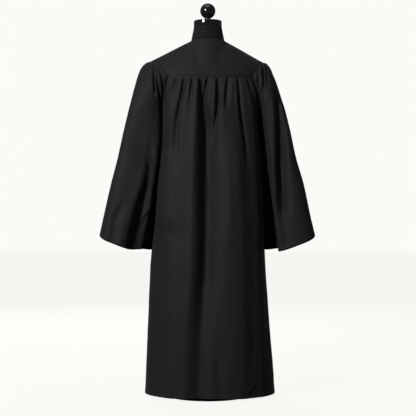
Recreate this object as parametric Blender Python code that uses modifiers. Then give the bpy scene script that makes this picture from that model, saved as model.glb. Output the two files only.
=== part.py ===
# Graduation gown on a limbless dress form.
# Metres, +Z up. The origin is on the floor at the middle of the base. The gown's front faces -Y and its
# back +Y, so the gown's left side is at +X.

import math

import bmesh
import bpy
import numpy as np

# Cloth and seams
CLOTH_WALL = 0.0016
SEAM_GAP = 0.0004
YOKE_SEAM_GAP = 0.0006
SHOULDER_SEAM_GAP = 0.0014
ARMHOLE_GAP = 0.0009

# Gown
PRESSED = 0.003
FOLD_START = 0.018
BACK_PUFF = 0.0035
PUFF_FADE = (0.04, 0.14)
PLAIN_SIDE = (0.94, 0.92)
ZIP_PLACKET = (0.014, 0.024)
UNDERARM_HEIGHT = 1.000
SLEEVE_HEAD = 0.34
CAP_GATHER = 0.05
CAP_PUFF = 0.007
HEM_HEIGHT = 0.011
BACK_SEAM_HEIGHT = 1.164
FRONT_SEAM_HEIGHT = 1.150
NECK_HEIGHT = 1.2918
NECK_SIDE = 0.062
NECK_BACK = 0.060
SHOULDER_LINE_Y = -0.005
V_POINT = (-0.105, 1.208)
V_PULL = (0.060, -0.078, 1.242)
BACK_NECK_SHARE = 0.36
FRONT_NECK_SHARE = 0.45

# Zip
ZIP_OPENING = 0.0030
ZIP_TAPE = 0.008
ZIP_WALL = 0.0012
TAPE_LEAN = 0.55
ZIP_BOTTOM = 0.330
ZIP_CLOSING = (0.003, 0.032)
COIL_HALF = 0.0022
SLIDER_HEIGHT = 1.192
SLIDER_SIZE = (0.0085, 0.0110, 0.0024)
BRIDGE_WIRE = 0.0008
BRIDGE_REACH = 0.0040
BRIDGE_RISE = 0.0036
PIVOT_RISE = 0.0015
PULL_SIZE = (0.0070, 0.0300, 0.0014)
PULL_EYE = (0.0036, 0.0056)
PULL_BAR = 0.0006

# Dress form
TORSO_BOTTOM = 0.550
CAP_RADIUS = 0.051
CAP_BOTTOM = 1.343
CAP_TOP = 1.365
BALL_RADIUS = 0.028
BALL_HEIGHT = 1.401
STEM_RADIUS = 0.010
POLE_RADIUS = 0.0125
BASE_RADIUS = 0.150
BASE_THICKNESS = 0.012

# The body of the gown by height: how far it reaches to each side, back and front, where the armhole's
# edge lies in depth, and how square the section is. An edge of almost nothing is the side seam.
BODY_COLUMNS = (
    "height", "left", "right", "back", "back_edge", "front", "front_edge", "power"
)
BODY_ROWS = (
    (1.164, 0.1435, 0.1565, 0.1000, 0.0780, 0.1200, 0.0940, 2.50),
    (1.130, 0.1515, 0.1670, 0.1065, 0.0720, 0.1300, 0.0880, 2.40),
    (1.090, 0.1595, 0.1745, 0.1130, 0.0600, 0.1380, 0.0740, 2.30),
    (1.045, 0.1650, 0.1790, 0.1190, 0.0380, 0.1440, 0.0460, 2.20),
    (1.020, 0.1660, 0.1800, 0.1215, 0.0255, 0.1460, 0.0300, 2.15),
    (1.006, 0.1665, 0.1800, 0.1230, 0.0125, 0.1470, 0.0150, 2.12),
    (1.000, 0.1665, 0.1800, 0.1240, 0.0003, 0.1475, 0.0003, 2.10),
    (0.930, 0.1670, 0.1860, 0.1290, 0.0003, 0.1490, 0.0003, 2.10),
    (0.875, 0.1725, 0.1910, 0.1330, 0.0003, 0.1500, 0.0003, 2.10),
    (0.784, 0.1810, 0.1955, 0.1390, 0.0003, 0.1515, 0.0003, 2.08),
    (0.697, 0.1870, 0.1980, 0.1440, 0.0003, 0.1535, 0.0003, 2.06),
    (0.609, 0.1940, 0.2005, 0.1490, 0.0003, 0.1560, 0.0003, 2.04),
    (0.536, 0.2040, 0.2025, 0.1530, 0.0003, 0.1590, 0.0003, 2.02),
    (0.434, 0.2110, 0.2090, 0.1580, 0.0003, 0.1630, 0.0003, 2.00),
    (0.259, 0.2180, 0.2235, 0.1650, 0.0003, 0.1690, 0.0003, 2.00),
    (0.083, 0.2256, 0.2380, 0.1710, 0.0003, 0.1750, 0.0003, 2.00),
    (0.011, 0.2290, 0.2416, 0.1740, 0.0003, 0.1780, 0.0003, 2.00),
)

# The ends of the shoulder seams
SHOULDER_COLUMNS = ("side", "reach", "height")
SHOULDER_ROWS = (
    (1, 0.207, 1.2186),
    (-1, 0.199, 1.2150),
)

# Each sleeve from the armhole (0) to the cuff (1): the overarm line, the underarm line beside the body,
# half the depth, how far the middle lies behind the shoulder line, and how far the back edge hangs lower.
SLEEVE_COLUMNS = (
    "along", "over_left", "over_right", "over_height", "under_left", "under_right", "under_height",
    "half_depth", "middle", "sag",
)
SLEEVE_ROWS = (
    (0.00, 0.2070, 0.1990, 1.2186, 0.1665, 0.1805, 1.000, 0.086, -0.008, 0.000),
    (0.04, 0.2200, 0.2120, 1.2080, 0.1720, 0.1920, 0.984, 0.088, -0.008, 0.000),
    (0.10, 0.2400, 0.2270, 1.1890, 0.1745, 0.1955, 0.955, 0.090, -0.008, 0.000),
    (0.16, 0.2530, 0.2390, 1.1620, 0.1765, 0.1975, 0.925, 0.090, -0.008, 0.001),
    (0.24, 0.2670, 0.2570, 1.1180, 0.1795, 0.1995, 0.885, 0.089, -0.008, 0.002),
    (0.34, 0.2840, 0.2780, 1.0500, 0.1840, 0.2010, 0.835, 0.089, -0.008, 0.004),
    (0.46, 0.3040, 0.2980, 0.9670, 0.1895, 0.2040, 0.775, 0.093, -0.008, 0.006),
    (0.58, 0.3250, 0.3190, 0.8700, 0.1940, 0.2045, 0.715, 0.100, -0.009, 0.008),
    (0.72, 0.3500, 0.3480, 0.7700, 0.2000, 0.2070, 0.650, 0.109, -0.010, 0.011),
    (0.86, 0.3710, 0.3680, 0.6760, 0.2070, 0.2100, 0.590, 0.118, -0.011, 0.014),
    (1.00, 0.3900, 0.3880, 0.5900, 0.2140, 0.2150, 0.537, 0.126, -0.012, 0.017),
)

# Folds. Each has a row for every height at which its place, half width or depth changes. x is measured
# towards the left side, and a depth below nothing is a ridge.
FOLD_COLUMNS = ("fold", "height", "x", "width", "depth")
BACK_FOLDS = (
    (1, 1.160, 0.1150, 0.0070, 0.006),
    (1, 1.125, 0.1240, 0.0080, 0.004),
    (1, 1.105, 0.1260, 0.0090, 0.000),
    (2, 1.160, 0.0864, 0.0075, 0.008),
    (2, 1.095, 0.0960, 0.0085, 0.012),
    (2, 1.040, 0.1090, 0.0110, 0.010),
    (2, 0.980, 0.1190, 0.0140, 0.006),
    (2, 0.850, 0.1230, 0.0180, 0.000),
    (3, 1.160, 0.0551, 0.0065, 0.007),
    (3, 1.095, 0.0630, 0.0080, 0.007),
    (3, 1.040, 0.0650, 0.0090, 0.000),
    (4, 1.160, 0.0277, 0.0075, 0.009),
    (4, 1.095, 0.0250, 0.0095, 0.018),
    (4, 0.970, 0.0235, 0.0150, 0.022),
    (4, 0.700, 0.0240, 0.0170, 0.022),
    (4, 0.450, 0.0260, 0.0190, 0.020),
    (4, 0.250, 0.0350, 0.0230, 0.015),
    (4, 0.011, 0.0450, 0.0280, 0.012),
    (5, 1.160, -0.0007, 0.0065, 0.008),
    (5, 1.095, 0.0120, 0.0080, 0.010),
    (5, 1.070, 0.0180, 0.0090, 0.000),
    (6, 1.160, -0.0356, 0.0075, 0.009),
    (6, 1.060, -0.0345, 0.0090, 0.013),
    (6, 0.980, -0.0270, 0.0110, 0.009),
    (6, 0.880, -0.0180, 0.0150, 0.000),
    (7, 1.160, -0.0715, 0.0065, 0.008),
    (7, 1.095, -0.0665, 0.0080, 0.008),
    (7, 1.040, -0.0645, 0.0090, 0.000),
    (8, 1.160, -0.1074, 0.0075, 0.009),
    (8, 1.040, -0.1150, 0.0090, 0.013),
    (8, 0.930, -0.1270, 0.0100, 0.010),
    (8, 0.820, -0.1400, 0.0120, 0.000),
    (9, 1.160, -0.1400, 0.0060, 0.006),
    (9, 1.100, -0.1540, 0.0080, 0.005),
    (9, 1.050, -0.1620, 0.0090, 0.000),
    (10, 0.900, -0.1050, 0.0260, 0.000),
    (10, 0.600, -0.1100, 0.0280, -0.006),
    (10, 0.011, -0.1130, 0.0300, -0.010),
    (11, 0.700, 0.1150, 0.0300, 0.000),
    (11, 0.350, 0.1150, 0.0300, -0.006),
    (11, 0.011, 0.1250, 0.0320, -0.008),
    (12, 0.500, -0.0400, 0.0260, 0.000),
    (12, 0.011, -0.0420, 0.0300, 0.006),
)
# The same on each front, x measured away from the middle.
FRONT_FOLDS = (
    (1, 1.146, 0.0300, 0.0065, 0.007),
    (1, 1.080, 0.0310, 0.0085, 0.012),
    (1, 0.930, 0.0330, 0.0120, 0.014),
    (1, 0.500, 0.0420, 0.0190, 0.016),
    (1, 0.011, 0.0560, 0.0260, 0.014),
    (2, 1.146, 0.0580, 0.0070, 0.008),
    (2, 1.080, 0.0610, 0.0085, 0.011),
    (2, 0.950, 0.0680, 0.0120, 0.000),
    (3, 1.146, 0.0860, 0.0070, 0.008),
    (3, 1.050, 0.0910, 0.0095, 0.012),
    (3, 0.850, 0.1000, 0.0150, 0.010),
    (3, 0.450, 0.1150, 0.0220, 0.012),
    (3, 0.011, 0.1350, 0.0280, 0.014),
    (4, 1.146, 0.1130, 0.0070, 0.007),
    (4, 1.080, 0.1200, 0.0085, 0.009),
    (4, 0.960, 0.1280, 0.0110, 0.000),
    (5, 0.800, 0.0720, 0.0220, 0.000),
    (5, 0.400, 0.0800, 0.0260, -0.007),
    (5, 0.011, 0.0950, 0.0280, -0.010),
)
# Folds on the back of each sleeve, x measured away from the body.
LEFT_SLEEVE_FOLDS = (
    (1, 1.205, 0.1780, 0.0060, 0.006),
    (1, 1.150, 0.1690, 0.0070, 0.010),
    (1, 1.110, 0.1730, 0.0080, 0.014),
    (1, 1.050, 0.1740, 0.0090, 0.018),
    (1, 0.980, 0.1770, 0.0110, 0.014),
    (1, 0.900, 0.1800, 0.0120, 0.000),
    (2, 1.205, 0.1960, 0.0060, 0.007),
    (2, 1.130, 0.1930, 0.0070, 0.009),
    (2, 1.085, 0.1950, 0.0080, 0.000),
    (3, 1.205, 0.2140, 0.0060, 0.005),
    (3, 1.140, 0.2150, 0.0080, 0.000),
    (4, 0.880, 0.2220, 0.0120, 0.000),
    (4, 0.800, 0.2300, 0.0160, 0.010),
    (4, 0.680, 0.2500, 0.0180, 0.015),
    (4, 0.540, 0.2950, 0.0200, 0.012),
    (5, 0.720, 0.2900, 0.0160, 0.000),
    (5, 0.640, 0.3300, 0.0180, 0.006),
    (5, 0.560, 0.3400, 0.0180, 0.006),
)
RIGHT_SLEEVE_FOLDS = (
    (1, 1.200, 0.1850, 0.0060, 0.006),
    (1, 1.130, 0.1760, 0.0080, 0.010),
    (1, 1.050, 0.1830, 0.0100, 0.018),
    (1, 0.900, 0.2030, 0.0150, 0.024),
    (1, 0.700, 0.2220, 0.0180, 0.026),
    (1, 0.540, 0.2350, 0.0220, 0.024),
    (2, 1.200, 0.2020, 0.0065, 0.008),
    (2, 1.120, 0.2060, 0.0080, 0.010),
    (2, 1.070, 0.1970, 0.0090, 0.006),
    (2, 1.030, 0.1950, 0.0100, 0.000),
    (3, 1.200, 0.2140, 0.0060, 0.005),
    (3, 1.150, 0.2180, 0.0080, 0.000),
    (4, 1.060, 0.2520, 0.0120, 0.000),
    (4, 0.950, 0.2570, 0.0130, 0.008),
    (4, 0.750, 0.2640, 0.0140, 0.010),
    (4, 0.650, 0.2680, 0.0160, 0.000),
)
# Folds on the front of either sleeve.
FRONT_SLEEVE_FOLDS = (
    (1, 1.205, 0.1820, 0.0065, 0.006),
    (1, 1.120, 0.1760, 0.0090, 0.013),
    (1, 1.020, 0.1850, 0.0110, 0.015),
    (1, 0.880, 0.2000, 0.0140, 0.000),
    (2, 1.205, 0.2010, 0.0065, 0.007),
    (2, 1.130, 0.2020, 0.0080, 0.009),
    (2, 1.070, 0.2050, 0.0090, 0.000),
    (3, 0.900, 0.2350, 0.0140, 0.000),
    (3, 0.780, 0.2450, 0.0180, 0.012),
    (3, 0.540, 0.2650, 0.0220, 0.014),
    (4, 0.800, 0.3000, 0.0160, 0.000),
    (4, 0.560, 0.3350, 0.0200, 0.009),
)

# The padded torso and neck by height
FORM_COLUMNS = ("height", "side", "back", "front", "power")
FORM_ROWS = (
    (1.3427, 0.0510, 0.0510, 0.0510, 2.0),
    (1.3250, 0.0530, 0.0530, 0.0530, 2.0),
    (1.3060, 0.0560, 0.0550, 0.0560, 2.0),
    (1.2950, 0.0570, 0.0555, 0.0565, 2.0),
    (1.2850, 0.0625, 0.0530, 0.0530, 1.6),
    (1.2700, 0.0915, 0.0560, 0.0560, 1.2),
    (1.2500, 0.1270, 0.0630, 0.0660, 1.3),
    (1.2300, 0.1600, 0.0680, 0.0760, 1.4),
    (1.2150, 0.1800, 0.0720, 0.0860, 1.6),
    (1.1950, 0.1860, 0.0760, 0.0960, 1.8),
    (1.1600, 0.1760, 0.0820, 0.1040, 2.0),
    (1.1100, 0.1520, 0.0890, 0.1120, 2.2),
    (1.0500, 0.1430, 0.0920, 0.1200, 2.1),
    (0.9900, 0.1400, 0.0900, 0.1150, 2.1),
    (0.9200, 0.1250, 0.0860, 0.1000, 2.1),
    (0.8700, 0.1270, 0.0880, 0.0980, 2.1),
    (0.7900, 0.1440, 0.1000, 0.1060, 2.1),
    (0.7000, 0.1520, 0.1060, 0.1080, 2.1),
    (0.6100, 0.1480, 0.1020, 0.1020, 2.1),
    (0.5600, 0.1440, 0.0980, 0.0980, 2.1),
    (0.5500, 0.1380, 0.0920, 0.0920, 2.1),
)

# Grids
BACK_STEPS = 48
FRONT_STEPS = 22
YOKE_STEPS = 26
FRONT_YOKE_STEPS = 13
YOKE_ROWS = 6
SLEEVE_STEPS = 40
FORM_STEPS = 24
BACK_HEIGHTS = (
    1.164, 1.161, 1.153, 1.140, 1.118, 1.085, 1.050, 1.020, 1.000,
    0.945, 0.870, 0.770, 0.650, 0.510, 0.360, 0.190, 0.011,
)
FRONT_HEIGHTS = (
    1.150, 1.147, 1.139, 1.126, 1.105, 1.075, 1.045, 1.020, 1.000,
    0.930, 0.830, 0.700, 0.560, 0.420, 0.328, 0.296, 0.150, 0.011,
)
SLEEVE_STATIONS = (0.0, 0.025, 0.07, 0.13, 0.21, 0.31, 0.43, 0.57, 0.71, 0.86, 1.0)


def table(columns, rows):
    """Named columns of numbers from rows."""
    return {name: np.array([row[i] for row in rows], float) for i, name in enumerate(columns)}


def curve_at(keys, values, at):
    """The value at a place on a smooth curve through the rows, which never overshoots them."""
    order = np.argsort(keys)
    keys = keys[order]
    values = values[order]
    at = np.clip(np.asarray(at, float), keys[0], keys[-1])
    step = np.diff(keys)
    rise = np.diff(values) / step
    slope = np.empty_like(values)
    slope[0] = rise[0]
    slope[-1] = rise[-1]
    product = rise[:-1] * rise[1:]
    total = rise[:-1] + rise[1:]
    slope[1:-1] = np.where(product > 0, 2 * product / np.where(total == 0, 1, total), 0)
    i = np.clip(np.searchsorted(keys, at) - 1, 0, len(keys) - 2)
    t = (at - keys[i]) / step[i]
    start = values[i] + t * t * (3 - 2 * t) * (values[i + 1] - values[i])
    bend = t * (1 - t) ** 2 * slope[i] - t * t * (1 - t) * slope[i + 1]
    return start + bend * step[i]


def smooth_step(low, high, value):
    """Nothing below low, one above high, and smooth between."""
    t = np.clip((np.asarray(value, float) - low) / (high - low), 0, 1)
    return t * t * (3 - 2 * t)


def fold_depth(rows, x, height):
    """How far the folds press the cloth in at a place."""
    folds = table(FOLD_COLUMNS, rows)
    depth = np.zeros(np.broadcast(x, height).shape)
    for number in np.unique(folds["fold"]):
        own = folds["fold"] == number
        heights = folds["height"][own]
        middle = curve_at(heights, folds["x"][own], height)
        width = curve_at(heights, folds["width"][own], height)
        deep = curve_at(heights, folds["depth"][own], height)
        depth += deep * np.exp(-(((x - middle) / width) ** 2))
    return depth


BODY = table(BODY_COLUMNS, BODY_ROWS)
SLEEVE = table(SLEEVE_COLUMNS, SLEEVE_ROWS)
SHOULDER = table(SHOULDER_COLUMNS, SHOULDER_ROWS)
FORM = table(FORM_COLUMNS, FORM_ROWS)


def body_wall(facing, across, height):
    """A point of the body before its folds, and the way out of the cloth there.

    facing is 1 for the back and -1 for the front. across runs from -1 at the right edge to 1 at the left
    edge, which is the armhole above the underarm and the side seam below it.
    """
    across = np.asarray(across, float)
    height = np.asarray(height, float)
    name = "back" if facing > 0 else "front"
    depth = curve_at(BODY["height"], BODY[name], height)
    edge = curve_at(BODY["height"], BODY[name + "_edge"], height)
    power = curve_at(BODY["height"], BODY["power"], height)
    left = curve_at(BODY["height"], BODY["left"], height)
    right = curve_at(BODY["height"], BODY["right"], height)
    turn = np.arccos((edge / depth) ** (power / 2))
    side = np.where(across >= 0, left, right)
    reach = side / np.sin(turn) ** (2 / power)
    angle = across * turn
    x = reach * np.sign(angle) * np.abs(np.sin(angle)) ** (2 / power)
    y = facing * depth * np.cos(angle) ** (2 / power)
    out_x = np.sign(x) * np.abs(x / reach) ** (power - 1) / reach
    out_y = facing * np.abs(y / depth) ** (power - 1) / depth
    size = np.hypot(out_x, out_y)
    point = np.stack([x, y, np.broadcast_to(height, x.shape)], -1)
    out = np.stack([out_x / size, out_y / size, np.zeros_like(x)], -1)
    return point, out


def back_panel(across, height):
    """The fluted back, flat at the yoke seam and at the side edges."""
    point, out = body_wall(1, across, height)
    drop = BACK_SEAM_HEIGHT - height
    held = smooth_step(PRESSED, FOLD_START, drop) * smooth_step(1.0, PLAIN_SIDE[0], np.abs(across))
    puff = BACK_PUFF * smooth_step(PRESSED, FOLD_START, drop)
    puff = puff * smooth_step(PUFF_FADE[1], PUFF_FADE[0], drop)
    depth = fold_depth(BACK_FOLDS, point[..., 0], height) - puff
    return point - out * (depth * held)[..., None]


def front_edge_x(height):
    """How far a front's middle edge lies from the middle: beside the coil, or at the seam below the zip."""
    closed = SEAM_GAP / 2
    return closed + (ZIP_OPENING - closed) * smooth_step(
        ZIP_BOTTOM - ZIP_CLOSING[1], ZIP_BOTTOM - ZIP_CLOSING[0], height
    )


def front_panel(side):
    """One fluted front, from its middle edge to the side seam."""

    def place(across, height):
        point, out = body_wall(-1, side * across, height)
        x = np.abs(point[..., 0])
        start = front_edge_x(height)
        point[..., 0] = side * np.maximum(x, start + 0 * x)
        held = smooth_step(PRESSED, FOLD_START, FRONT_SEAM_HEIGHT - height)
        held = held * smooth_step(1.0, PLAIN_SIDE[1], across) * smooth_step(*ZIP_PLACKET, x)
        depth = fold_depth(FRONT_FOLDS, x * (1 + 0.04 * side), height)
        return point - out * (depth * held)[..., None]

    return place


def shoulder_end(side):
    """Where the shoulder seam meets the armhole: its reach and its height."""
    row = 0 if side > 0 else 1
    return SHOULDER["reach"][row], SHOULDER["height"][row]


def shoulder_seam(side, share, facing):
    """A point along a shoulder seam, from the neck (0) to the armhole (1)."""
    reach, height = shoulder_end(side)
    x = side * (NECK_SIDE + (reach - NECK_SIDE) * share)
    y = SHOULDER_LINE_Y + facing * SHOULDER_SEAM_GAP / 2 + 0 * share
    z = NECK_HEIGHT + (height - NECK_HEIGHT) * share
    return np.stack([x, y, z], -1)


def yoke_between(top, bottom, down):
    """Carries a yoke from its top edge to its seam, steep below the neck and rounded over the shoulder."""
    over = smooth_step(0.02, 0.11, np.abs(top[..., 0]))
    out_power = 1.35 + 0.45 * over
    down_power = 1.05 + 0.65 * over
    share = 1 - (1 - down) ** out_power
    point = np.empty_like(top)
    point[..., 0] = top[..., 0] + (bottom[..., 0] - top[..., 0]) * down
    point[..., 1] = top[..., 1] + (bottom[..., 1] - top[..., 1]) * share
    point[..., 2] = top[..., 2] + (bottom[..., 2] - top[..., 2]) * down ** down_power
    return point


def back_yoke(across, down):
    """The upper back. The middle of its top edge is the neckline, and the rest are the shoulder seams."""
    side = np.where(across >= 0, 1, -1)
    part = np.abs(across)
    turn = np.clip(part / BACK_NECK_SHARE, 0, 1) * math.pi / 2
    neck_y = SHOULDER_LINE_Y + SHOULDER_SEAM_GAP / 2
    neck = np.stack(
        [
            side * NECK_SIDE * np.sin(turn),
            neck_y + (NECK_BACK - neck_y) * np.cos(turn),
            NECK_HEIGHT + 0 * turn,
        ],
        -1,
    )
    along = np.clip((part - BACK_NECK_SHARE) / (1 - BACK_NECK_SHARE), 0, 1)
    left = shoulder_seam(1, along, 1)
    right = shoulder_seam(-1, along, 1)
    seam = np.where((side > 0)[..., None], left, right)
    top = np.where((part < BACK_NECK_SHARE)[..., None], neck, seam)
    bottom, _ = body_wall(1, across, BACK_SEAM_HEIGHT + 0 * across)
    bottom[..., 2] += YOKE_SEAM_GAP
    return yoke_between(top, bottom, down)


def front_yoke(side):
    """One upper front, from the zip to the armhole. Its neck edge rises from the V to the shoulder."""

    def place(across, down):
        share = np.clip(across / FRONT_NECK_SHARE, 0, 1)[..., None]
        low = np.array([side * ZIP_OPENING, V_POINT[0], V_POINT[1]])
        pull = np.array([side * V_PULL[0], V_PULL[1], V_PULL[2]])
        high = shoulder_seam(side, np.zeros(1), -1)[0]
        neck = low * (1 - share) ** 2 + 2 * pull * share * (1 - share) + high * share**2
        along = np.clip((across - FRONT_NECK_SHARE) / (1 - FRONT_NECK_SHARE), 0, 1)
        seam = shoulder_seam(side, along, -1)
        top = np.where((across < FRONT_NECK_SHARE)[..., None], neck, seam)
        bottom, _ = body_wall(-1, side * across, FRONT_SEAM_HEIGHT + 0 * across)
        bottom[..., 0] = side * np.maximum(np.abs(bottom[..., 0]), ZIP_OPENING)
        bottom[..., 2] += YOKE_SEAM_GAP
        return yoke_between(top, bottom, down)

    return place


def armhole(side, facing):
    """Points along half an armhole, from the shoulder to the underarm, on the back or on the front."""
    steps = np.linspace(0, 1, 30)
    ends = np.full_like(steps, 1.0)
    if facing > 0:
        upper = back_yoke(side * ends, steps)
        top = BACK_SEAM_HEIGHT
    else:
        upper = front_yoke(side)(ends, steps)
        top = FRONT_SEAM_HEIGHT
    heights = top + (UNDERARM_HEIGHT - top) * np.sin(steps * math.pi / 2)
    lower, _ = body_wall(facing, side * ends, heights)
    return np.concatenate([upper, lower[1:]])


def along_line(line, share):
    """Points at shares of a line's length."""
    length = np.concatenate([[0], np.cumsum(np.linalg.norm(np.diff(line, axis=0), axis=1))])
    return np.stack([np.interp(share * length[-1], length, line[:, i]) for i in range(3)], -1)


def sleeve(side):
    """One bell sleeve. around goes from the shoulder (0) by the back and the underarm (0.5)."""
    back_line = armhole(side, 1)
    front_line = armhole(side, -1)
    back_folds = LEFT_SLEEVE_FOLDS if side > 0 else RIGHT_SLEEVE_FOLDS
    hand = "left" if side > 0 else "right"

    def frame_at(along):
        over_x = curve_at(SLEEVE["along"], SLEEVE["over_" + hand], along)
        over_z = curve_at(SLEEVE["along"], SLEEVE["over_height"], along)
        over_z = over_z + (shoulder_end(side)[1] - SLEEVE["over_height"][0]) * (1 - along)
        under_x = curve_at(SLEEVE["along"], SLEEVE["under_" + hand], along)
        under_z = curve_at(SLEEVE["along"], SLEEVE["under_height"], along)
        middle = np.stack([(over_x + under_x) / 2, (over_z + under_z) / 2], -1)
        half = np.stack([(over_x - under_x) / 2, (over_z - under_z) / 2], -1)
        return middle, half

    def place(around, along):
        around = np.asarray(around, float)
        along = np.asarray(along, float)
        on_back = around <= 0.5
        back = along_line(back_line, np.clip(around * 2, 0, 1))
        front = along_line(front_line, np.clip(2 - around * 2, 0, 1))
        start = np.where(on_back[..., None], back, front)
        start[..., 0] = side * start[..., 0] + ARMHOLE_GAP

        middle, half = frame_at(0 * along)
        size = (half**2).sum(-1)
        offset = np.stack([start[..., 0], start[..., 2]], -1) - middle
        up = (offset * half).sum(-1) / size
        bow = (offset[..., 0] * half[..., 1] - offset[..., 1] * half[..., 0]) / np.sqrt(size)

        angle = around * 2 * math.pi
        blend = smooth_step(0.0, SLEEVE_HEAD, along)
        half_depth = curve_at(SLEEVE["along"], SLEEVE["half_depth"], along)
        depth_middle = curve_at(SLEEVE["along"], SLEEVE["middle"], along)
        sag = curve_at(SLEEVE["along"], SLEEVE["sag"], along)
        up = up + (np.cos(angle) - up) * blend
        bow = bow * (1 - blend)
        y = start[..., 1] * (1 - blend) + blend * (depth_middle + half_depth * np.sin(angle))
        middle, half = frame_at(along)
        length = np.linalg.norm(half, axis=-1)
        away = np.stack([half[..., 1], -half[..., 0]], -1) / length[..., None]
        ring = middle + half * up[..., None] + away * (bow + sag * np.sin(angle) ** 2)[..., None]
        x = ring[..., 0]
        z = ring[..., 1]

        gathered = smooth_step(0.0, CAP_GATHER, along)
        puff = CAP_PUFF * gathered * np.clip(np.cos(angle) + 0.4, 0, 1)
        puff = puff * smooth_step(SLEEVE_HEAD, CAP_GATHER * 2, along)
        turned = np.where(np.sin(angle) > 0, smooth_step(0.05, 0.45, np.sin(angle)), 0)
        turned_front = np.where(np.sin(angle) < 0, smooth_step(0.05, 0.45, -np.sin(angle)), 0)
        depth = fold_depth(back_folds, x, z) * turned
        depth = depth + fold_depth(FRONT_SLEEVE_FOLDS, x, z) * turned_front
        depth = depth * gathered - puff
        out_flat = half * (np.cos(angle) / length)[..., None]
        x = x - out_flat[..., 0] * depth
        y = y - np.sin(angle) * depth
        z = z - out_flat[..., 1] * depth
        return np.stack([side * x, y, z], -1)

    return place


def front_middle(height):
    """The zip's line on the cloth's outer face, as depth and height, and the way out of the cloth there."""
    down = np.linspace(0, 1, 60)
    yoke = front_yoke(1)(np.zeros_like(down), down)
    heights = np.linspace(FRONT_SEAM_HEIGHT, HEM_HEIGHT, 200)
    panel, _ = body_wall(-1, np.zeros_like(heights), heights)
    line = np.concatenate([yoke[:-1], panel])[:, 1:]
    way = np.gradient(line, axis=0)
    way = way / np.linalg.norm(way, axis=1)[:, None]
    order = np.argsort(line[:, 1])
    z = line[order, 1]
    y = np.interp(height, z, line[order, 0])
    along_y = np.interp(height, z, way[order, 0])
    along_z = np.interp(height, z, way[order, 1])
    out = np.stack([along_z, -along_y], -1)
    out = out / np.linalg.norm(out, axis=-1)[..., None]
    return np.stack([y, height + 0 * y], -1), out


def zip_strip(across, height):
    """The zip's tape behind the fronts' edges, with its coil raised between them."""
    place, out = front_middle(height)
    coil = np.abs(across) <= COIL_HALF
    beside = np.maximum(np.abs(across) - COIL_HALF, 0)
    lean = TAPE_LEAN * beside * smooth_step(FRONT_SEAM_HEIGHT, V_POINT[1] - 0.010, height)
    inward = np.where(coil, SEAM_GAP, CLOTH_WALL + 2 * SEAM_GAP + lean)
    yz = place - out * inward[..., None]
    return np.stack([across, yz[..., 0], yz[..., 1]], -1)


def material(name, colour, roughness, metallic=0.0):
    """A plain finish for one sub-part."""
    finish = bpy.data.materials.new(name)
    finish.use_nodes = True
    shader = finish.node_tree.nodes["Principled BSDF"]
    shader.inputs["Base Color"].default_value = (*colour, 1)
    shader.inputs["Roughness"].default_value = roughness
    shader.inputs["Metallic"].default_value = metallic
    return finish


def add_object(name, mesh, collection, finish):
    """Puts a bmesh in the scene as one named object."""
    data = bpy.data.meshes.new(name)
    mesh.to_mesh(data)
    mesh.free()
    placed = bpy.data.objects.new(name, data)
    collection.objects.link(placed)
    data.materials.append(finish)
    data.shade_smooth()
    return placed


def carried_grid(across, along, place):
    """A flat grid whose points are carried to the form that a function gives."""
    grid = bmesh.new()
    bmesh.ops.create_grid(grid, x_segments=len(across) - 1, y_segments=len(along) - 1, size=1)
    flat = np.array([tuple(v.co) for v in grid.verts])
    flat = (flat - flat.min(0)) / np.where(np.ptp(flat, 0) == 0, 1, np.ptp(flat, 0))
    column = np.rint(flat[:, 0] * (len(across) - 1)).astype(int)
    row = np.rint(flat[:, 1] * (len(along) - 1)).astype(int)
    points = place(np.asarray(across)[column], np.asarray(along)[row])
    for vertex, point in zip(grid.verts, points):
        vertex.co = point
    bmesh.ops.remove_doubles(grid, verts=grid.verts, dist=0.00001)
    return grid


def face_outwards(grid, facing):
    """Turns an open sheet so that most of it faces the way given."""
    grid.normal_update()
    total = 0
    for face in grid.faces:
        total += face.calc_area() * face.normal.dot(facing(face.calc_center_median()))
    if total < 0:
        bmesh.ops.reverse_faces(grid, faces=grid.faces)
        grid.normal_update()


def cloth(name, across, along, place, facing, collection, finish, wall=CLOTH_WALL):
    """One cut piece: a sheet with its thickness on the inner side."""
    grid = carried_grid(across, along, place)
    face_outwards(grid, facing)
    piece = add_object(name, grid, collection, finish)
    thickness = piece.modifiers.new("Cloth wall", "SOLIDIFY")
    thickness.thickness = wall
    thickness.offset = -1
    thickness.use_rim = True
    return piece


def turned(name, profile, steps, collection, finish):
    """A solid turned about the Z axis from a profile that runs down its outer side."""
    line = bmesh.new()
    points = [line.verts.new((radius, 0, height)) for radius, height in profile]
    for first, second in zip(points, points[1:]):
        line.edges.new((first, second))
    piece = add_object(name, line, collection, finish)
    turn = piece.modifiers.new("Turn", "SCREW")
    turn.steps = steps
    turn.render_steps = steps
    turn.use_merge_vertices = True
    turn.merge_threshold = 0.00001
    return piece


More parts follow.
